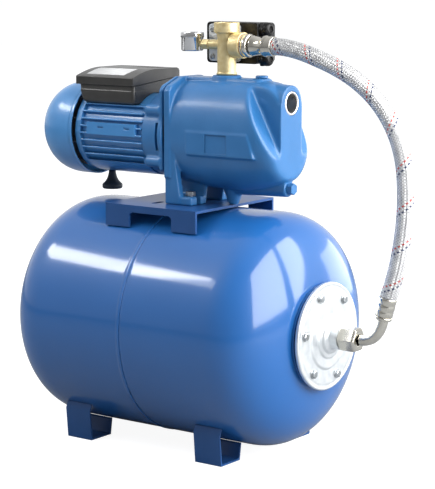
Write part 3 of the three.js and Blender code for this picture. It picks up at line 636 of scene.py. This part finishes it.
def makeFlange(s):
    profile = [
        (s["back"], 13), (s["back"], s["radius"] - 0.8), (s["back"] + 0.8, s["radius"]),
        (s["face"] - 1.6, s["radius"]), (s["face"] - 0.4, s["radius"] - 0.7), (s["face"], s["radius"] - 2.2),
        (s["face"] - 0.1, 77), (s["face"] - 0.7, 75.5), (s["face"] - 0.7, 73), (s["face"] - 0.1, 71.5),
        (s["face"], 70), (s["face"], 51), (s["face"] + 0.4, 49.4), (260.4, 48), (261.0, 46.8), (261.2, 45.4),
        (261.2, 34.6), (260.9, 33.8), (261.6, 32.6), (263.0, 31.6), (263.4, 30.2), (263.4, 26.2),
        (263.9, 25.2), (266.6, 24), (267.8, 22.8), (268.4, 20), (269.4, 17.6), (271, 17.2), (281.8, 17.2),
        (282.8, 16.4), (283, 13),
    ]
    flange = joined("flange_plate", latheShape(profile, "x", (0, 0, tankZ), 128))
    modify(flange, "WEIGHTED_NORMAL", weight=50)
    use(bake(flange), zincPlate, "zinc", "tank_flange")
    bolt = joined("flangeBoltMaster", shiftless(hexShape("x", 1.4, 5.2, 10.6, (0, 0, 0))),
                  shiftless(latheShape([(0.3, 0), (0.3, 7), (0.7, 7.3), (1.3, 7.3), (1.6, 6.8), (1.6, 0)],
                                       "x", (0, 0, 0), 32)),
                  shiftless(rodShape("x", -8, 1.5, 3.9, (0, 0, 0), 16)))
    eased(bolt, 0.25, 2, 25)
    bolts = ranTree("flange_bolts", boltRingTree(), {
        "Bolt": bolt, "Count": s["bolts"], "Radius": s["boltCircle"] * mm, "Turn": math.radians(s["turn"]),
        "Centre": at(s["face"], 0, tankZ), "Finish": boltSteel})
    bpy.data.objects.remove(bolt)
    bolts.data.shade_smooth()
    use(bolts, boltSteel, "fasteners", *["flange_bolt_" + str(i + 1) for i in range(6)])


makeFlange(flangeSettings)
print("flange ready")

casingSettings = {"halfY": 62, "top": 578, "bottom": 413, "nose": 191, "shoulder": 140, "flange": 11,
                  "webHalf": 28, "rampTop": (136, 574), "rampFoot": (190.2, 470)}


def casingRing(x, s, count=112):
    u = max(0, min(1, (x - s["shoulder"]) / (s["nose"] - s["shoulder"])))
    bend = 1 - (1 - u ** 2.6) ** (1 / 2.6)
    belly, flare = max(0, x - 122) * 0.2, max(0, 1 - x / 60)
    halfY = s["halfY"] - 24 * bend
    low = s["bottom"] + belly + 8 * flare + 10 * bend
    high = s["top"] - 45 * bend - 3 * flare
    ring = []
    for i in range(count):
        c, k = math.cos(2 * math.pi * i / count), math.sin(2 * math.pi * i / count)
        ring.append(at(x, math.copysign(abs(c) ** 0.88, c) * halfY,
                       (low + high) / 2 + math.copysign(abs(k) ** 0.88, k) * (high - low) / 2))
    return ring


def casingLegShapes(side):
    def span(a, b):
        return (a, b) if side > 0 else (-b, -a)
    post = prismShape([(0, 389.8), (27, 389.8), (28, 402), (11, 505), (0, 505)], "y", *span(48, 59.5))
    pad = boxShape(0, 49, *span(22, 58), 389.8, 402)
    rib = prismShape([(0, 389.8), (49, 389.8), (53, 418), (60, 445), (0, 445)], "y", *span(20, 25))
    return [post, pad, rib]


def makeCasing(s):
    stations = list(np.linspace(0.2, 138, 22)) + [140 + 51 * (1 - (1 - k / 26) ** 1.9) for k in range(27)]
    outer = joined("casing_skin", ringShape([casingRing(x, s) for x in stations]))
    (tx, tz), (fx, fz) = s["rampTop"], s["rampFoot"]
    ramp = [(tx, tz), (fx, fz), (235, fz), (235, 640), (tx, 640)]
    cutAway(outer, prismShape(ramp, "y", -95, -s["webHalf"]), prismShape(ramp, "y", s["webHalf"], 95))
    castBody(outer, 1.5, 30)  # the crest of each ramp is left very soft by the sand mould
    panel = [(42, 467), (166, 467), (153, 502), (42, 502)]
    flangeOutline = [(-62, 430), (62, 430), (62, 561), (56, 568), (22, 581), (-22, 581), (-56, 568),
                     (-62, 561)]
    shapes = [
        prismShape(flangeOutline, "x", 0, s["flange"]),
        boxShape(128, s["nose"], -s["webHalf"], s["webHalf"], 468, suctionZ),
        latheShape([(100, 0), (100, 31), (140, 30), (s["nose"], 26.5), (s["nose"], 0)], "x",
                   (0, 0, suctionZ), 64),
        prismShape(roundedOutline(2, -19, 146, 19, 8), "z", 560, 580),
        latheShape([(540, 0), (540, 24), (576, 23), (584, 21), (584, 0)], "z", (portX, 0, 0), 48),
        rodShape("z", 560, 581.6, 12, (137, 0, 0)),
        latheShape([(96, 0), (96, 15.5), (187, 12.5), (187, 0)], "x", (0, 0, 420.5), 48),
        latheShape([(389.8, 0), (389.8, 7), (394, 9), (425, 20), (425, 0)], "z", (86, 0, 0), 48),
        prismShape(panel, "y", -62.9, -53), prismShape(panel, "y", 53, 62.9),
        *casingLegShapes(-1), *casingLegShapes(1),
    ]
    extra = joined("casingExtra", *shapes)
    casing = joined("pump_casing_body", shapeOf(outer), shapeOf(extra))
    bpy.data.objects.remove(outer)
    bpy.data.objects.remove(extra)
    castBody(casing, 1.5, 4)
    tools = [rodShape("x", 150, 200, 17.9, (0, 0, suctionZ), 64),
             rodShape("z", 570, 600, 12.4, (portX, 0, 0), 48), boxShape(77, 116.5, -64, -61.4, 472, 499),
             boxShape(77, 116.5, 61.4, 64, 472, 499)]
    for side in (-1, 1):
        tools.append(prismShape(roundedOutline(28, side * 39 - 5, 70, side * 39 + 5, 4.8), "z", 380, 403.5))
    cutAway(casing, *tools)
    casing.data.shade_smooth()
    modify(casing, "WEIGHTED_NORMAL", weight=50)
    use(bake(casing), castPaint, "pump_blue", "pump_casing")
    pitch = 2.3  # one inch pipe thread
    thread = []
    for i in range(14):
        thread += [(189.4 - pitch * i, 13.7), (188.3 - pitch * i, 14.8)]
    ring = [(150, 13.8), (150, 17.8), (190.6, 17.8), (191.3, 17.3), (191.3, 14.9), *thread]
    port = joined("suction_port_ring", latheShape(ring, "x", (0, 0, suctionZ), 72))
    use(port, groundSteel, "fasteners")
    plug = joined("priming_plug_head",
                  latheShape([(576, 0), (576, 7), (582, 7), (582, 9.2), (583, 9.5), (585, 9.2), (585.5, 8),
                              (585.5, 0)], "z", (137, 0, 0), 48))
    use(plug, castPaint, "pump_blue", "priming_plug")


makeCasing(casingSettings)
print("casing ready")

motorSettings = {"x0": -162, "x1": -42, "barrel": 60, "bore": 56.5, "tip": 66.5, "pitch": 11.05,
                 "first": -35, "fins": 8, "coverRim": -174.8, "coverRadius": 72.7, "coverStraight": 22.7,
                 "coverDome": 66.5, "coverPower": 2.28, "coverWall": 2, "band": 66}


def finTree():
    # parallel cooling fins, each as wide as the round envelope lets it be
    tree, given, result = geometryTree("coolingFins", {
        "Fin": bpy.types.Object, "Count": int, "First": float, "Pitch": float, "Tip": float, "Centre": Vector,
        "Finish": bpy.types.Material})
    line = addNode(tree, "GeometryNodeMeshLine", {"mode": "OFFSET"}, links={"Count": given.outputs["Count"]})
    index = addNode(tree, "GeometryNodeInputIndex")
    known = {"index": index.outputs[0],
             **{label: given.outputs[label] for label in ("Pitch", "First", "Tip")}}
    steps = [
        ("rise", "MULTIPLY_ADD", "index", "Pitch", "First"), ("riseSquare", "MULTIPLY", "rise", "rise"),
        ("tipSquare", "MULTIPLY", "Tip", "Tip"), ("rest", "SUBTRACT", "tipSquare", "riseSquare"),
        ("reach", "SQRT", "rest"), ("share", "DIVIDE", "reach", "Tip"),
    ]
    for name, operation, *values in steps:
        wires = {i: known.get(v, v) for i, v in enumerate(values)}
        known[name] = addNode(tree, "ShaderNodeMath", {"operation": operation}, wires).outputs[0]
    offset = addNode(tree, "ShaderNodeCombineXYZ", links={"Z": known["rise"]})
    place = addNode(tree, "ShaderNodeVectorMath", {"operation": "ADD"},
                    links={0: offset.outputs[0], 1: given.outputs["Centre"]})
    points = addNode(tree, "GeometryNodeSetPosition",
                     links={"Geometry": line.outputs[0], "Position": place.outputs[0]})
    wide = addNode(tree, "ShaderNodeCombineXYZ", inputs={"X": 1, "Z": 1}, links={"Y": known["share"]})
    fin = addNode(tree, "GeometryNodeObjectInfo", links={"Object": given.outputs["Fin"]})
    copies = addNode(tree, "GeometryNodeInstanceOnPoints",
                     links={"Points": points.outputs[0], "Instance": fin.outputs["Geometry"],
                            "Scale": wide.outputs[0]})
    real = addNode(tree, "GeometryNodeRealizeInstances", links={"Geometry": copies.outputs[0]})
    finished = addNode(tree, "GeometryNodeSetMaterial",
                       links={"Geometry": real.outputs[0], "Material": given.outputs["Finish"]})
    tree.links.new(finished.outputs[0], result.inputs[0])
    return tree


def makeMotor(s):
    centre = (0, 0, shaftZ)
    half = (s["x1"] - s["x0"]) / 2
    fin = joined("finMaster", shiftless(boxShape(-half, half, -s["tip"], s["tip"], -1.25, 1.25)))
    eased(fin, 0.9, 3)
    fins = ranTree("finSet", finTree(), {
        "Fin": fin, "Count": s["fins"], "First": s["first"] * mm, "Pitch": s["pitch"] * mm,
        "Tip": s["tip"] * mm, "Centre": at((s["x0"] + s["x1"]) / 2, 0, shaftZ), "Finish": motorPaint})
    bpy.data.objects.remove(fin)
    barrel = joined("barrelSkin",
                    latheShape([(s["x0"], s["bore"]), (s["x0"], s["barrel"]), (s["x1"], s["barrel"]),
                                (s["x1"], s["bore"])], "x", centre, 96))
    dip = math.asin(45.5 / s["band"])
    arc = [(s["band"] * math.cos(t), shaftZ + s["band"] * math.sin(t))
           for t in np.linspace(math.pi + dip, 2 * math.pi - dip, 48)]
    band = joined("bandSkin", prismShape(arc, "x", s["x0"], s["x1"]),
                  boxShape(-148, -52, -66.8, -50, 488, 507), boxShape(-148, -52, 50, 66.8, 488, 507))
    slots = [boxShape(x - 5.5, x + 5.5, 65.4 * side - 1.6, 65.4 * side + 1.6, 498.6, 501.6)
             for x in (-120.8, -68.4) for side in (-1, 1)]
    cutAway(band, rodShape("x", -170, -30, s["bore"] + 0.4, centre, 96), *slots)
    eased(band, 1.2, 3)
    body = joined("motor_frame_body", shapeOf(fins), shapeOf(barrel), shapeOf(band))
    for extra in (fins, barrel, band):
        bpy.data.objects.remove(extra)
    modify(body, "WEIGHTED_NORMAL", weight=50)
    use(bake(body), motorPaint, "motor_blue", "motor_frame")

    outer = domeProfile(s["coverRim"] - s["coverStraight"], s["coverDome"], s["coverRadius"],
                        s["coverPower"], -1, 0, 40)
    inner = domeProfile(s["coverRim"] - s["coverStraight"], s["coverDome"] - s["coverWall"],
                        s["coverRadius"] - s["coverWall"], s["coverPower"], -1, 0, 24)
    rim = [(s["coverRim"], s["coverRadius"] - s["coverWall"]), (s["coverRim"], s["coverRadius"] - 0.3),
           (s["coverRim"] - 0.4, s["coverRadius"]), (s["coverRim"] - 4.4, s["coverRadius"]),
           (s["coverRim"] - 5, s["coverRadius"] - 0.7), (s["coverRim"] - 6.4, s["coverRadius"] - 0.7),
           (s["coverRim"] - 7, s["coverRadius"])]
    profile = [(outer[-1][0], 0)] + outer[-2::-1] + rim[::-1] + inner[:-1] + [(inner[-1][0], 0)]
    cover = joined("fan_cover_shell", latheShape(profile, "x", centre, 96))
    slots = []
    for i in range(-2, 3):
        reach, rise = math.sqrt(40 ** 2 - (i * 12) ** 2), shaftZ + i * 12
        slots.append(prismShape(roundedOutline(-reach, rise - 2.6, reach, rise + 2.6, 2.5), "x", -280, -232))
    cutAway(cover, *slots)
    cover.data.shade_smooth()
    modify(cover, "WEIGHTED_NORMAL", weight=50)
    use(bake(cover), motorPaint, "motor_blue", "fan_cover")

    blades = []
    for i in range(9):
        turn = 2 * math.pi * i / 9
        c, k = math.cos(turn), math.sin(turn)
        corners = [(13, -1), (57, -1), (57, 1), (13, 1)]
        blades.append(prismShape([(r * c - w * k, shaftZ + r * k + w * c) for r, w in corners], "x", -198,
                                 -177.4))
    plate = latheShape([(-199.8, 12), (-199.8, 59.6), (-197.4, 59.6), (-197.4, 12)], "x", centre, 96)
    boss = latheShape([(-199.8, 7.8), (-199.8, 14), (-177.2, 14), (-177.2, 7.8)], "x", centre, 48)
    use(eased(joined("fan_wheel", plate, boss, *blades), 0.3, 1), paleAbs, "grey_plastic", "fan",
        body="rotor")

    drum = latheShape([(-41.7, 15.6), (-41.7, 24), (-41.7, 64.5), (-12, 64.5), (-4, 64.5), (-4, 15.6)], "x",
                      centre, 96)
    plate = prismShape([(-60, 440), (60, 440), (60, 561), (54, 568), (21, 580), (-21, 580), (-54, 568),
                        (-60, 561)], "x", -10.5, -3.6)
    lugs = [rodShape("x", -36, -8, 9, (0, sy * 54, shaftZ + sz * 39), 40) for sy in (-1, 1) for sz in (-1, 1)]
    bracket = joined("motor_bracket_body", drum, plate, *lugs)
    castBody(bracket, 1.5, 4)
    cutAway(bracket, rodShape("x", -45, -33, 56.8, centre, 96), boxShape(-15.6, -10.8, -70, -40, 470, 512),
            boxShape(-15.6, -10.8, 40, 70, 470, 512),
            *[rodShape("x", -45, -36, 6.8, (0, sy * 54, shaftZ + sz * 39), 40) for sy in (-1,
                1) for sz in (-1, 1)])
    bracket.data.shade_smooth()
    modify(bracket, "WEIGHTED_NORMAL", weight=50)
    use(bake(bracket), castPaint, "pump_blue", "motor_bracket")
    stand = [(396, 0), (396, 14.2), (396.8, 15.4), (398.4, 16), (402.4, 16), (403.8, 15.2), (405.2, 13.4),
             (408.6, 10.2), (413, 7.9), (418, 6.4), (421, 5.7), (425.1, 5.5), (425.1, 0)]
    use(joined("motor_rubber_stand", latheShape(stand, "z", (-152, 0, 0), 48)), softRubber, "rubber_parts",
        "motor_foot")


makeMotor(motorSettings)
print("motor ready")

boxSettings = {"x0": -175, "x1": -61, "front": -59, "back": 58, "seamFront": 564, "seamBack": 574.4}


def baseRing(z, x0, x1, halfY, radius):
    return [at(x, y, z) for x, y in roundedOutline(x0, -halfY, x1, halfY, radius, 8)]


def lidTop(y):
    # height of the lid's crown across the motor
    return 577 + 11 * math.sin(min(1, max(0, (y + 59) / 56)) * math.pi / 2) if y < -3 else 588


def makeTerminalBox(s):
    crown = [(y, lidTop(y)) for y in (52, 20, -3, -10, -18, -28, -38, -48, -56)]
    outline = [(s["front"], s["seamFront"]), (s["back"], s["seamBack"]), (s["back"], 583),
               (s["back"] - 2, 586.5), *crown, (s["front"], 576.6)]
    lid = joined("terminal_lid_shell", prismShape(outline, "x", s["x0"], s["x1"]))
    grooves = [boxShape(-80 - 9 * i, -76 - 9 * i, 18, 50, 586.6, 592) for i in range(6)]
    corners = [prismShape([(s["x1"] - 1.6, -70), (s["x1"] + 4, -70), (s["x1"] + 4, s["front"] + 4)], "z",
                          550, 600),
               prismShape([(s["x0"] + 1.6, -70), (s["x0"] - 4, s["front"] + 4), (s["x0"] - 4, -70)], "z",
                          550, 600)]
    cutAway(lid, *grooves, *corners)
    eased(lid, 1.3, 3, 24)
    use(lid, greyAbs, "box_plastic", "terminal_box_lid")
    sheet = [(y, lidTop(y) + 0.35) for y in (-16, -22, -28, -34, -40, -45, -50)]
    under = [(y, z - 0.55) for y, z in reversed(sheet)]
    use(joined("lid_blank_label", prismShape(sheet + under, "x", -160, -86)), blankLabel, "grey_plastic")

    rings = [(535.9, -160, -65, 50, 4), (536.5, -162.6, -62.4, 53.6, 5), (538.6, -164.6, -60.8, 56.2, 6),
             (543, -166.2, -60.4, 57.4, 6), (549, -167.8, -60.6, 57.9, 6), (555.4, -169.6, -60.9, 58.2, 6),
             (556.4, -169.6, -61.2, 57.6, 6), (557.4, -169.8, -61.6, 56.8, 6), (590, -174, -62, 56.6, 6)]
    base = joined("terminal_base_shell", ringShape([baseRing(*r) for r in rings]))
    slope = (s["seamBack"] - s["seamFront"]) / (s["back"] - s["front"])

    def seam(y):
        return s["seamFront"] - 0.7 + slope * (y - s["front"])
    lift = [(-90, seam(-90)), (90, seam(90)), (90, 720), (-90, 720)]
    cutAway(base, prismShape(lift, "x", -220, -20), rodShape("x", -220, -20, 60.9, (0, 0, shaftZ), 96),
            rodShape("x", -220, -161.8, 66.4, (0, 0, shaftZ), 96))
    eased(base, 0.5, 2, 40)
    use(base, greyAbs, "black_plastic", "terminal_box_base")


makeTerminalBox(boxSettings)
print("terminal box ready")

fittingSettings = {"base": 584.4, "top": 662.4, "tube": 14.2, "ring": 19.3, "rightEnd": 105.4, "leftEnd": 42}


def makeFitting(s):
    pitch = 2.3  # the same pipe thread as the suction port
    mouth = []
    for i in range(6):
        mouth += [(662 - pitch * i, 14.4), (660.9 - pitch * i, 15.4)]
    column = [(s["base"], 9), (s["base"], 15.3), (s["base"] + 2.6, 15.5), (s["base"] + 3.4, 14.6),
              (s["base"] + 5, s["tube"]), (612, s["tube"]), (640, s["tube"]), (643, 15), (645.4, 15.2),
              (646.8, 16.4), (647.6, 18.6), (648.6, s["ring"]), (661.4, s["ring"]), (662.4, 18.4),
              (662.4, 15.4), *mouth, (646, 9)]
    right = [(12, 12.4), (12, 15.2), (84 - portX, 15.6), (86 - portX, 18.2), (88 - portX, 19.4),
             (104.2 - portX, 19.6), (s["rightEnd"] - portX, 18.8), (s["rightEnd"] - portX, 12.4)]
    left = [(s["leftEnd"] - portX, 4), (s["leftEnd"] - portX, 6.8), (s["leftEnd"] - portX + 0.8, 7.3),
            (-12, 7.3), (-12, 4)]
    back = [(6, 3.4), (6, 7.5), (20, 7.5), (20, 3.4)]
    fitting = joined("brass_branch", latheShape(column, "z", (portX, 0, 0), 72),
                     latheShape(right, "x", (portX, 0, portZ), 64),
                     latheShape(left, "x", (portX, 0, portZ), 40),
                     latheShape(back, "y", (portX - 14, 0, portZ), 32))
    modify(fitting, "WEIGHTED_NORMAL", weight=50)
    use(bake(fitting), yellowBrass, "brass_parts", "manifold")


def makeGauge():
    x, radius, z0, z1 = 8, 17.8, 618.4, 646.3
    can = [(z0, 0), (z0, radius - 3), (z0 + 0.8, radius - 1.6), (z0 + 2, radius - 1), (z1 - 8.2, radius - 1),
           (z1 - 7.6, radius - 0.3), (z1 - 6.8, radius), (z1 - 1, radius), (z1 - 0.2, radius - 0.5),
           (z1, radius - 1.2), (z1 - 0.2, radius - 2), (z1 - 1.2, radius - 2.3), (z1 - 6, radius - 2.4),
           (z1 - 6, 0)]
    case = joined("gauge_can", latheShape(can, "z", (x, 0, 0), 72))
    use(case, brightChrome, "chrome_fittings", "gauge_case")
    stem = joined("gauge_stem", hexShape("x", 29.6, 41.7, 14.6, (0, 0, portZ)),
                  rodShape("x", x + radius - 2.4, 30, 5.2, (0, 0, portZ), 32))
    eased(stem, 0.3, 2)
    use(stem, yellowBrass, "brass_parts")
    use(joined("gauge_dial_card",
               latheShape([(z1 - 5.9, 1.3), (z1 - 5.9, radius - 2.6), (z1 - 5.1, radius - 2.6),
                           (z1 - 5.1, 1.3)], "z", (x, 0, 0), 64)),
        dialWhite, "chrome_fittings")
    ticks = []
    for i in range(28):
        angle = math.radians(225 - 10 * i)
        long = i % 3 == 0
        inner, outer, wide = (9.6 if long else 11), 12.8, (0.32 if long else 0.18)
        c, k = math.cos(angle), math.sin(angle)
        corners = [(inner, -wide), (outer, -wide), (outer, wide), (inner, wide)]
        ticks.append(prismShape([(x + r * c - w * k, r * k + w * c) for r, w in corners], "z", z1 - 5.12,
                                z1 - 4.95))
    use(joined("gauge_scale_marks", *ticks, smooth=False), dialInk, "black_plastic")
    lens = joined("gauge_window",
                  latheShape([(z1 - 2.6, 0), (z1 - 2.6, radius - 2.45), (z1 - 1.3, radius - 2.45),
                              (z1 - 1.3, 0)], "z", (x, 0, 0), 64))
    use(lens, clearGlass, "chrome_fittings")
    needle = eased(copyOf("gauge_pointer", "gauge_needle"), 0.08, 1)
    use(needle, needleRed, "black_plastic", "gauge_needle", body="needle")


makeFitting(fittingSettings)
makeGauge()
print("branch and gauge ready")

switchSettings = {"x0": 17, "x1": 112, "y0": 24.4, "y1": 73, "z0": 600, "z1": 662, "split": 50}


def crossScrew(centre, radius=4.2):
    # cheese-head screw facing -y with a cross recess
    x, y, z = centre
    head = joined("screwHead",
                  latheShape([(y + 0.1, 0), (y + 0.1, radius), (y - 1.4, radius), (y - 2.2, radius * 0.72),
                              (y - 2.4, 0)], "y", (x, 0, z), 32))
    cutAway(head, boxShape(x - 0.55, x + 0.55, y - 4, y - 1.1, z - 2.6, z + 2.6),
            boxShape(x - 2.6, x + 2.6, y - 4, y - 1.1, z - 0.55, z + 0.55))
    shape = shapeOf(head)
    bpy.data.objects.remove(head)
    return shape


def makeSwitch(s):
    use(eased(copyOf("switch_port_plate", "switch_flange"), 0.5, 2), zincPlate, "zinc", "switch_flange")
    base = joined("switch_base_shell",
                  prismShape(roundedOutline(s["x0"], s["z0"], s["x1"], s["z1"], 6), "y", s["y0"], s["split"]))
    use(eased(base, 1.2, 3), blackAbs, "black_plastic", "switch_base")
    hood = joined("switch_hood",
                  prismShape(roundedOutline(s["x0"] + 1, s["z0"] + 1, s["x1"] - 1, s["z1"] - 1, 6), "y",
                             s["split"] + 0.3, s["y1"]))
    use(eased(hood, 2.5, 4), blackAbs, "black_plastic", "switch_cover")
    screws = [crossScrew((cx, 20.6, cz)) for cx in (31, 75) for cz in (609.5, 650)]
    use(joined("switch_plate_screws", *screws, smooth=False), boltSteel, "fasteners")
    for name, z in (("switch_gland_upper", 652), ("switch_gland_lower", 607.6)):
        nut = joined(name + "_nut", hexShape("x", s["x1"] + 0.3, s["x1"] + 6.8, 21, (0, 37, z), 1.2),
                     latheShape([(s["x1"] + 6, 0), (s["x1"] + 6, 10.8), (s["x1"] + 12.6, 10.4),
                                 (s["x1"] + 15, 8.6), (s["x1"] + 16, 6.4), (s["x1"] + 16, 5),
                                 (s["x1"] + 13.5, 4.6), (s["x1"] + 13.5, 0)], "x", (0, 37, z), 12))
        use(eased(nut, 0.4, 2), blackAbs, "black_plastic", name)


makeSwitch(switchSettings)
print("switch ready")

endSettings = {"elbow": [(315, 208), (324, 209.5), (334, 213.5), (343, 222), (349.5, 234.5), (352.5, 248.5)],
               "tube": 8.2}


def alongHoseEnd(profile, segments=48):
    # a turned part standing on the hose's lower end, profile measured from the elbow
    (ex, ez), (sx, sz) = hoseSettings["route"][-1], endSettings["elbow"][-1]
    lean = math.atan2(ex - sx, ez - sz)
    verts, faces = shiftless(latheShape(profile, "z", (0, 0, 0), segments))
    turn = Matrix.Rotation(lean, 3, "Y")
    return [turn @ v + at(sx, 0, sz) for v in verts], faces


def makeEnds(s):
    level = (0, 0, portZ)
    nut = [(105.9, 9), (105.9, 16.6), (106.6, 17.4), (108, 17.4), (108.4, 16.8), (109.2, 16.8),
           (109.6, 17.4), (116.6, 17.4), (117.8, 16.4), (117.8, 9)]
    use(joined("upper_ring_nut", latheShape(nut, "x", level, 72)), nickelPlate, "chrome_fittings",
        "hose_ring_nut")
    use(joined("copper_washer",
               latheShape([(105.45, 12.6), (105.45, 17), (105.85, 17), (105.85, 12.6)], "x", level, 64)),
               copperRing, "copper_winding")
    sleeve = [(118.4, 0), (118.4, 12), (121, 12.2), (121, 14.2), (121.8, 15.2), (123.6, 15.2), (124.6, 14.3),
              (132, 14.1), (141.4, 14.2), (142.6, 15.2), (144, 15.8), (146.2, 15.8), (147.6, 15.0),
              (149.4, 14.5), (158.2, 14.6), (159.2, 14.2), (159.4, 13.2), (159.4, 0)]
    use(joined("upper_crimp_sleeve", latheShape(sleeve, "x", level, 72)), nickelPlate, "chrome_fittings",
        "hose_upper_ferrule")
    lower = [(0.9, 0), (0.9, 12.2), (1.8, 13), (8, 13.1), (9, 12.7), (11, 12.7), (12, 13.2), (18, 13.2),
             (19, 12.7), (21, 12.7), (22, 13.2), (27.8, 13.1), (29.2, 12.6), (29.2, 0)]
    use(joined("lower_crimp_sleeve", alongHoseEnd(lower, 64)), nickelPlate, "chrome_fittings",
        "hose_lower_ferrule")
    line, _ = smoothRoute(s["elbow"], 1.0)
    verts, faces, _ = sweepShape(line, lambda turn, run: s["tube"], 48)
    collar = alongHoseEnd([(-5, 0), (-5, 11.4), (-4, 12.6), (-2, 13.2), (-0.4, 13.2), (0.5, 12.4), (0.5, 0)],
                          64)
    elbow = joined("swivel_elbow", (verts, faces), collar)
    use(elbow, nickelPlate, "chrome_fittings", "elbow")
    union = joined("union_hex",
                   latheShape([(283.4, 9), (283.4, 17.6), (285, 19.2), (309, 19.2), (312, 16.4), (312, 9)],
                              "x", (0, 0, tankZ + 0.6), 6))
    use(eased(union, 0.8, 3), nickelPlate, "chrome_fittings", "union_nut")


makeEnds(endSettings)
print("hose ends ready")

for node, finish, slot, width in (
    ("foot_bolt_front", boltSteel, "fasteners", 0.5), ("foot_bolt_rear", boltSteel, "fasteners", 0.5),
    ("casing_bolt_1", castPaint, "fasteners", 0.5), ("casing_bolt_2", castPaint, "fasteners", 0.5),
    ("casing_bolt_3", castPaint, "fasteners", 0.5), ("casing_bolt_4", castPaint, "fasteners", 0.5),
    ("drain_plug", castPaint, "fasteners", 0.5), ("air_valve", boltSteel, "fasteners", 0.4),
    ("tank_neck_ring", tankEnamel, "tank_blue", 0.4), ("casing_gasket", blackGasket, "rubber_parts", 0.3),
):
    use(eased(copyOf(node + "_finished", node), width, 2), finish, slot, node)

hiddenFinishes = {
    "bladder": softRubber, "shaft": groundSteel, "rotor_core": bareIron, "stator_core": bareIron,
    "stator_winding": copperWire, "rear_bearing": groundSteel, "front_bearing": groundSteel,
    "rear_end_shield": motorPaint, "impeller": yellowBrass, "diffuser": blackAbs, "ejector": blackAbs,
    "mechanical_seal": groundSteel, "capacitor": paleAbs,
}
for node, finish in hiddenFinishes.items():
    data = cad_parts[node].data
    data.materials.clear()
    data.materials.append(finish)
print("fixings ready")


# Soft boxes stand round the set, in degrees and metres: azimuth 0 is in front (-y), 90 is at the flange end.
# A fill lights the paint and shows in no reflection.
softBoxes = {
    "leftStrip": {"azimuth": -57, "elevation": 38, "distance": 2.6, "size": (0.95, 0.34), "radiance": 15},
    "leftTail": {"azimuth": -42, "elevation": 38, "distance": 2.6, "size": (0.6, 0.32), "radiance": 4.5},
    "frontFill": {"azimuth": -50, "elevation": 44, "distance": 2.75, "size": (2.3, 1.5), "radiance": 2.4},
    "rightBank": {"azimuth": 101, "elevation": 27, "distance": 2.2, "size": (2.5, 2.2), "radiance": 8},
    "backRight": {"azimuth": 162, "elevation": 3, "distance": 2.6, "size": (1.3, 1.0), "radiance": 3.2},
    "topFill": {"azimuth": 0, "elevation": 84, "distance": 2.6, "size": (1.8, 1.2), "radiance": 2.2},
}


def softBox(name, azimuth, elevation, distance, size, radiance):
    turn, lift = math.radians(azimuth), math.radians(elevation)
    centre = at(20, 0, 280)
    out = Vector((math.sin(turn) * math.cos(lift), -math.cos(turn) * math.cos(lift), math.sin(lift)))
    data = bpy.data.lights.new(name, "AREA")
    data.shape = "RECTANGLE"
    data.size, data.size_y = size
    data.energy = radiance * math.pi * size[0] * size[1]
    light = bpy.data.objects.new(name, data)
    bpy.context.scene.collection.objects.link(light)
    light.location = centre + out * distance
    light.rotation_mode = "QUATERNION"
    light.rotation_quaternion = out.to_track_quat("Z", "Y")
    light.visible_camera = False
    light.visible_glossy = not name.endswith("Fill")


def makeFloor():
    # white to the eye, grey to the light, so the set's underside stays dark
    floor = newObject("floor", [(-9, -9, 0), (9, -9, 0), (9, 9, 0), (-9, 9, 0)], [(0, 1, 2, 3)])
    material, tree, shader = newMaterial("palePaperFloor")
    shader.inputs["Base Color"].default_value = colour("#8f9193")
    shader.inputs["Roughness"].default_value = 1.0
    shader.inputs["Specular IOR Level"].default_value = 0.0
    ray = addNode(tree, "ShaderNodeLightPath")
    glow = addNode(tree, "ShaderNodeMath", {"operation": "MULTIPLY"}, {1: 0.92},
                   {0: ray.outputs["Is Camera Ray"]})
    shader.inputs["Emission Color"].default_value = colour("#ffffff")
    tree.links.new(glow.outputs[0], shader.inputs["Emission Strength"])
    floor.data.materials.append(material)


def makeWorld():
    # a white room that darkens towards where the viewer stands, white behind the set
    world = bpy.data.worlds.new("studio")
    bpy.context.scene.world = world
    world.use_nodes = True
    tree = world.node_tree
    way = addNode(tree, "ShaderNodeTexCoord")
    front = addNode(tree, "ShaderNodeVectorMath", {"operation": "DOT_PRODUCT"}, {1: (0.59, -0.8, 0.0)},
                    {0: way.outputs["Object"]})
    room = addNode(tree, "ShaderNodeMapRange",
                   inputs={"From Min": -0.9, "From Max": 0.6, "To Min": 0.95, "To Max": 0.36},
                   links={"Value": front.outputs["Value"]})
    ray = addNode(tree, "ShaderNodeLightPath")
    level = addNode(tree, "ShaderNodeMix", {"data_type": "FLOAT"}, {3: 1.05},
                    {0: ray.outputs["Is Camera Ray"], 2: room.outputs["Result"]})
    background = tree.nodes["Background"]
    background.inputs["Color"].default_value = colour("#fafbfc")
    tree.links.new(level.outputs[0], background.inputs["Strength"])


makeFloor()
makeWorld()
for name, settings in softBoxes.items():
    softBox(name, **settings)
bpy.context.scene.view_settings.view_transform = "Standard"
print("stage ready")
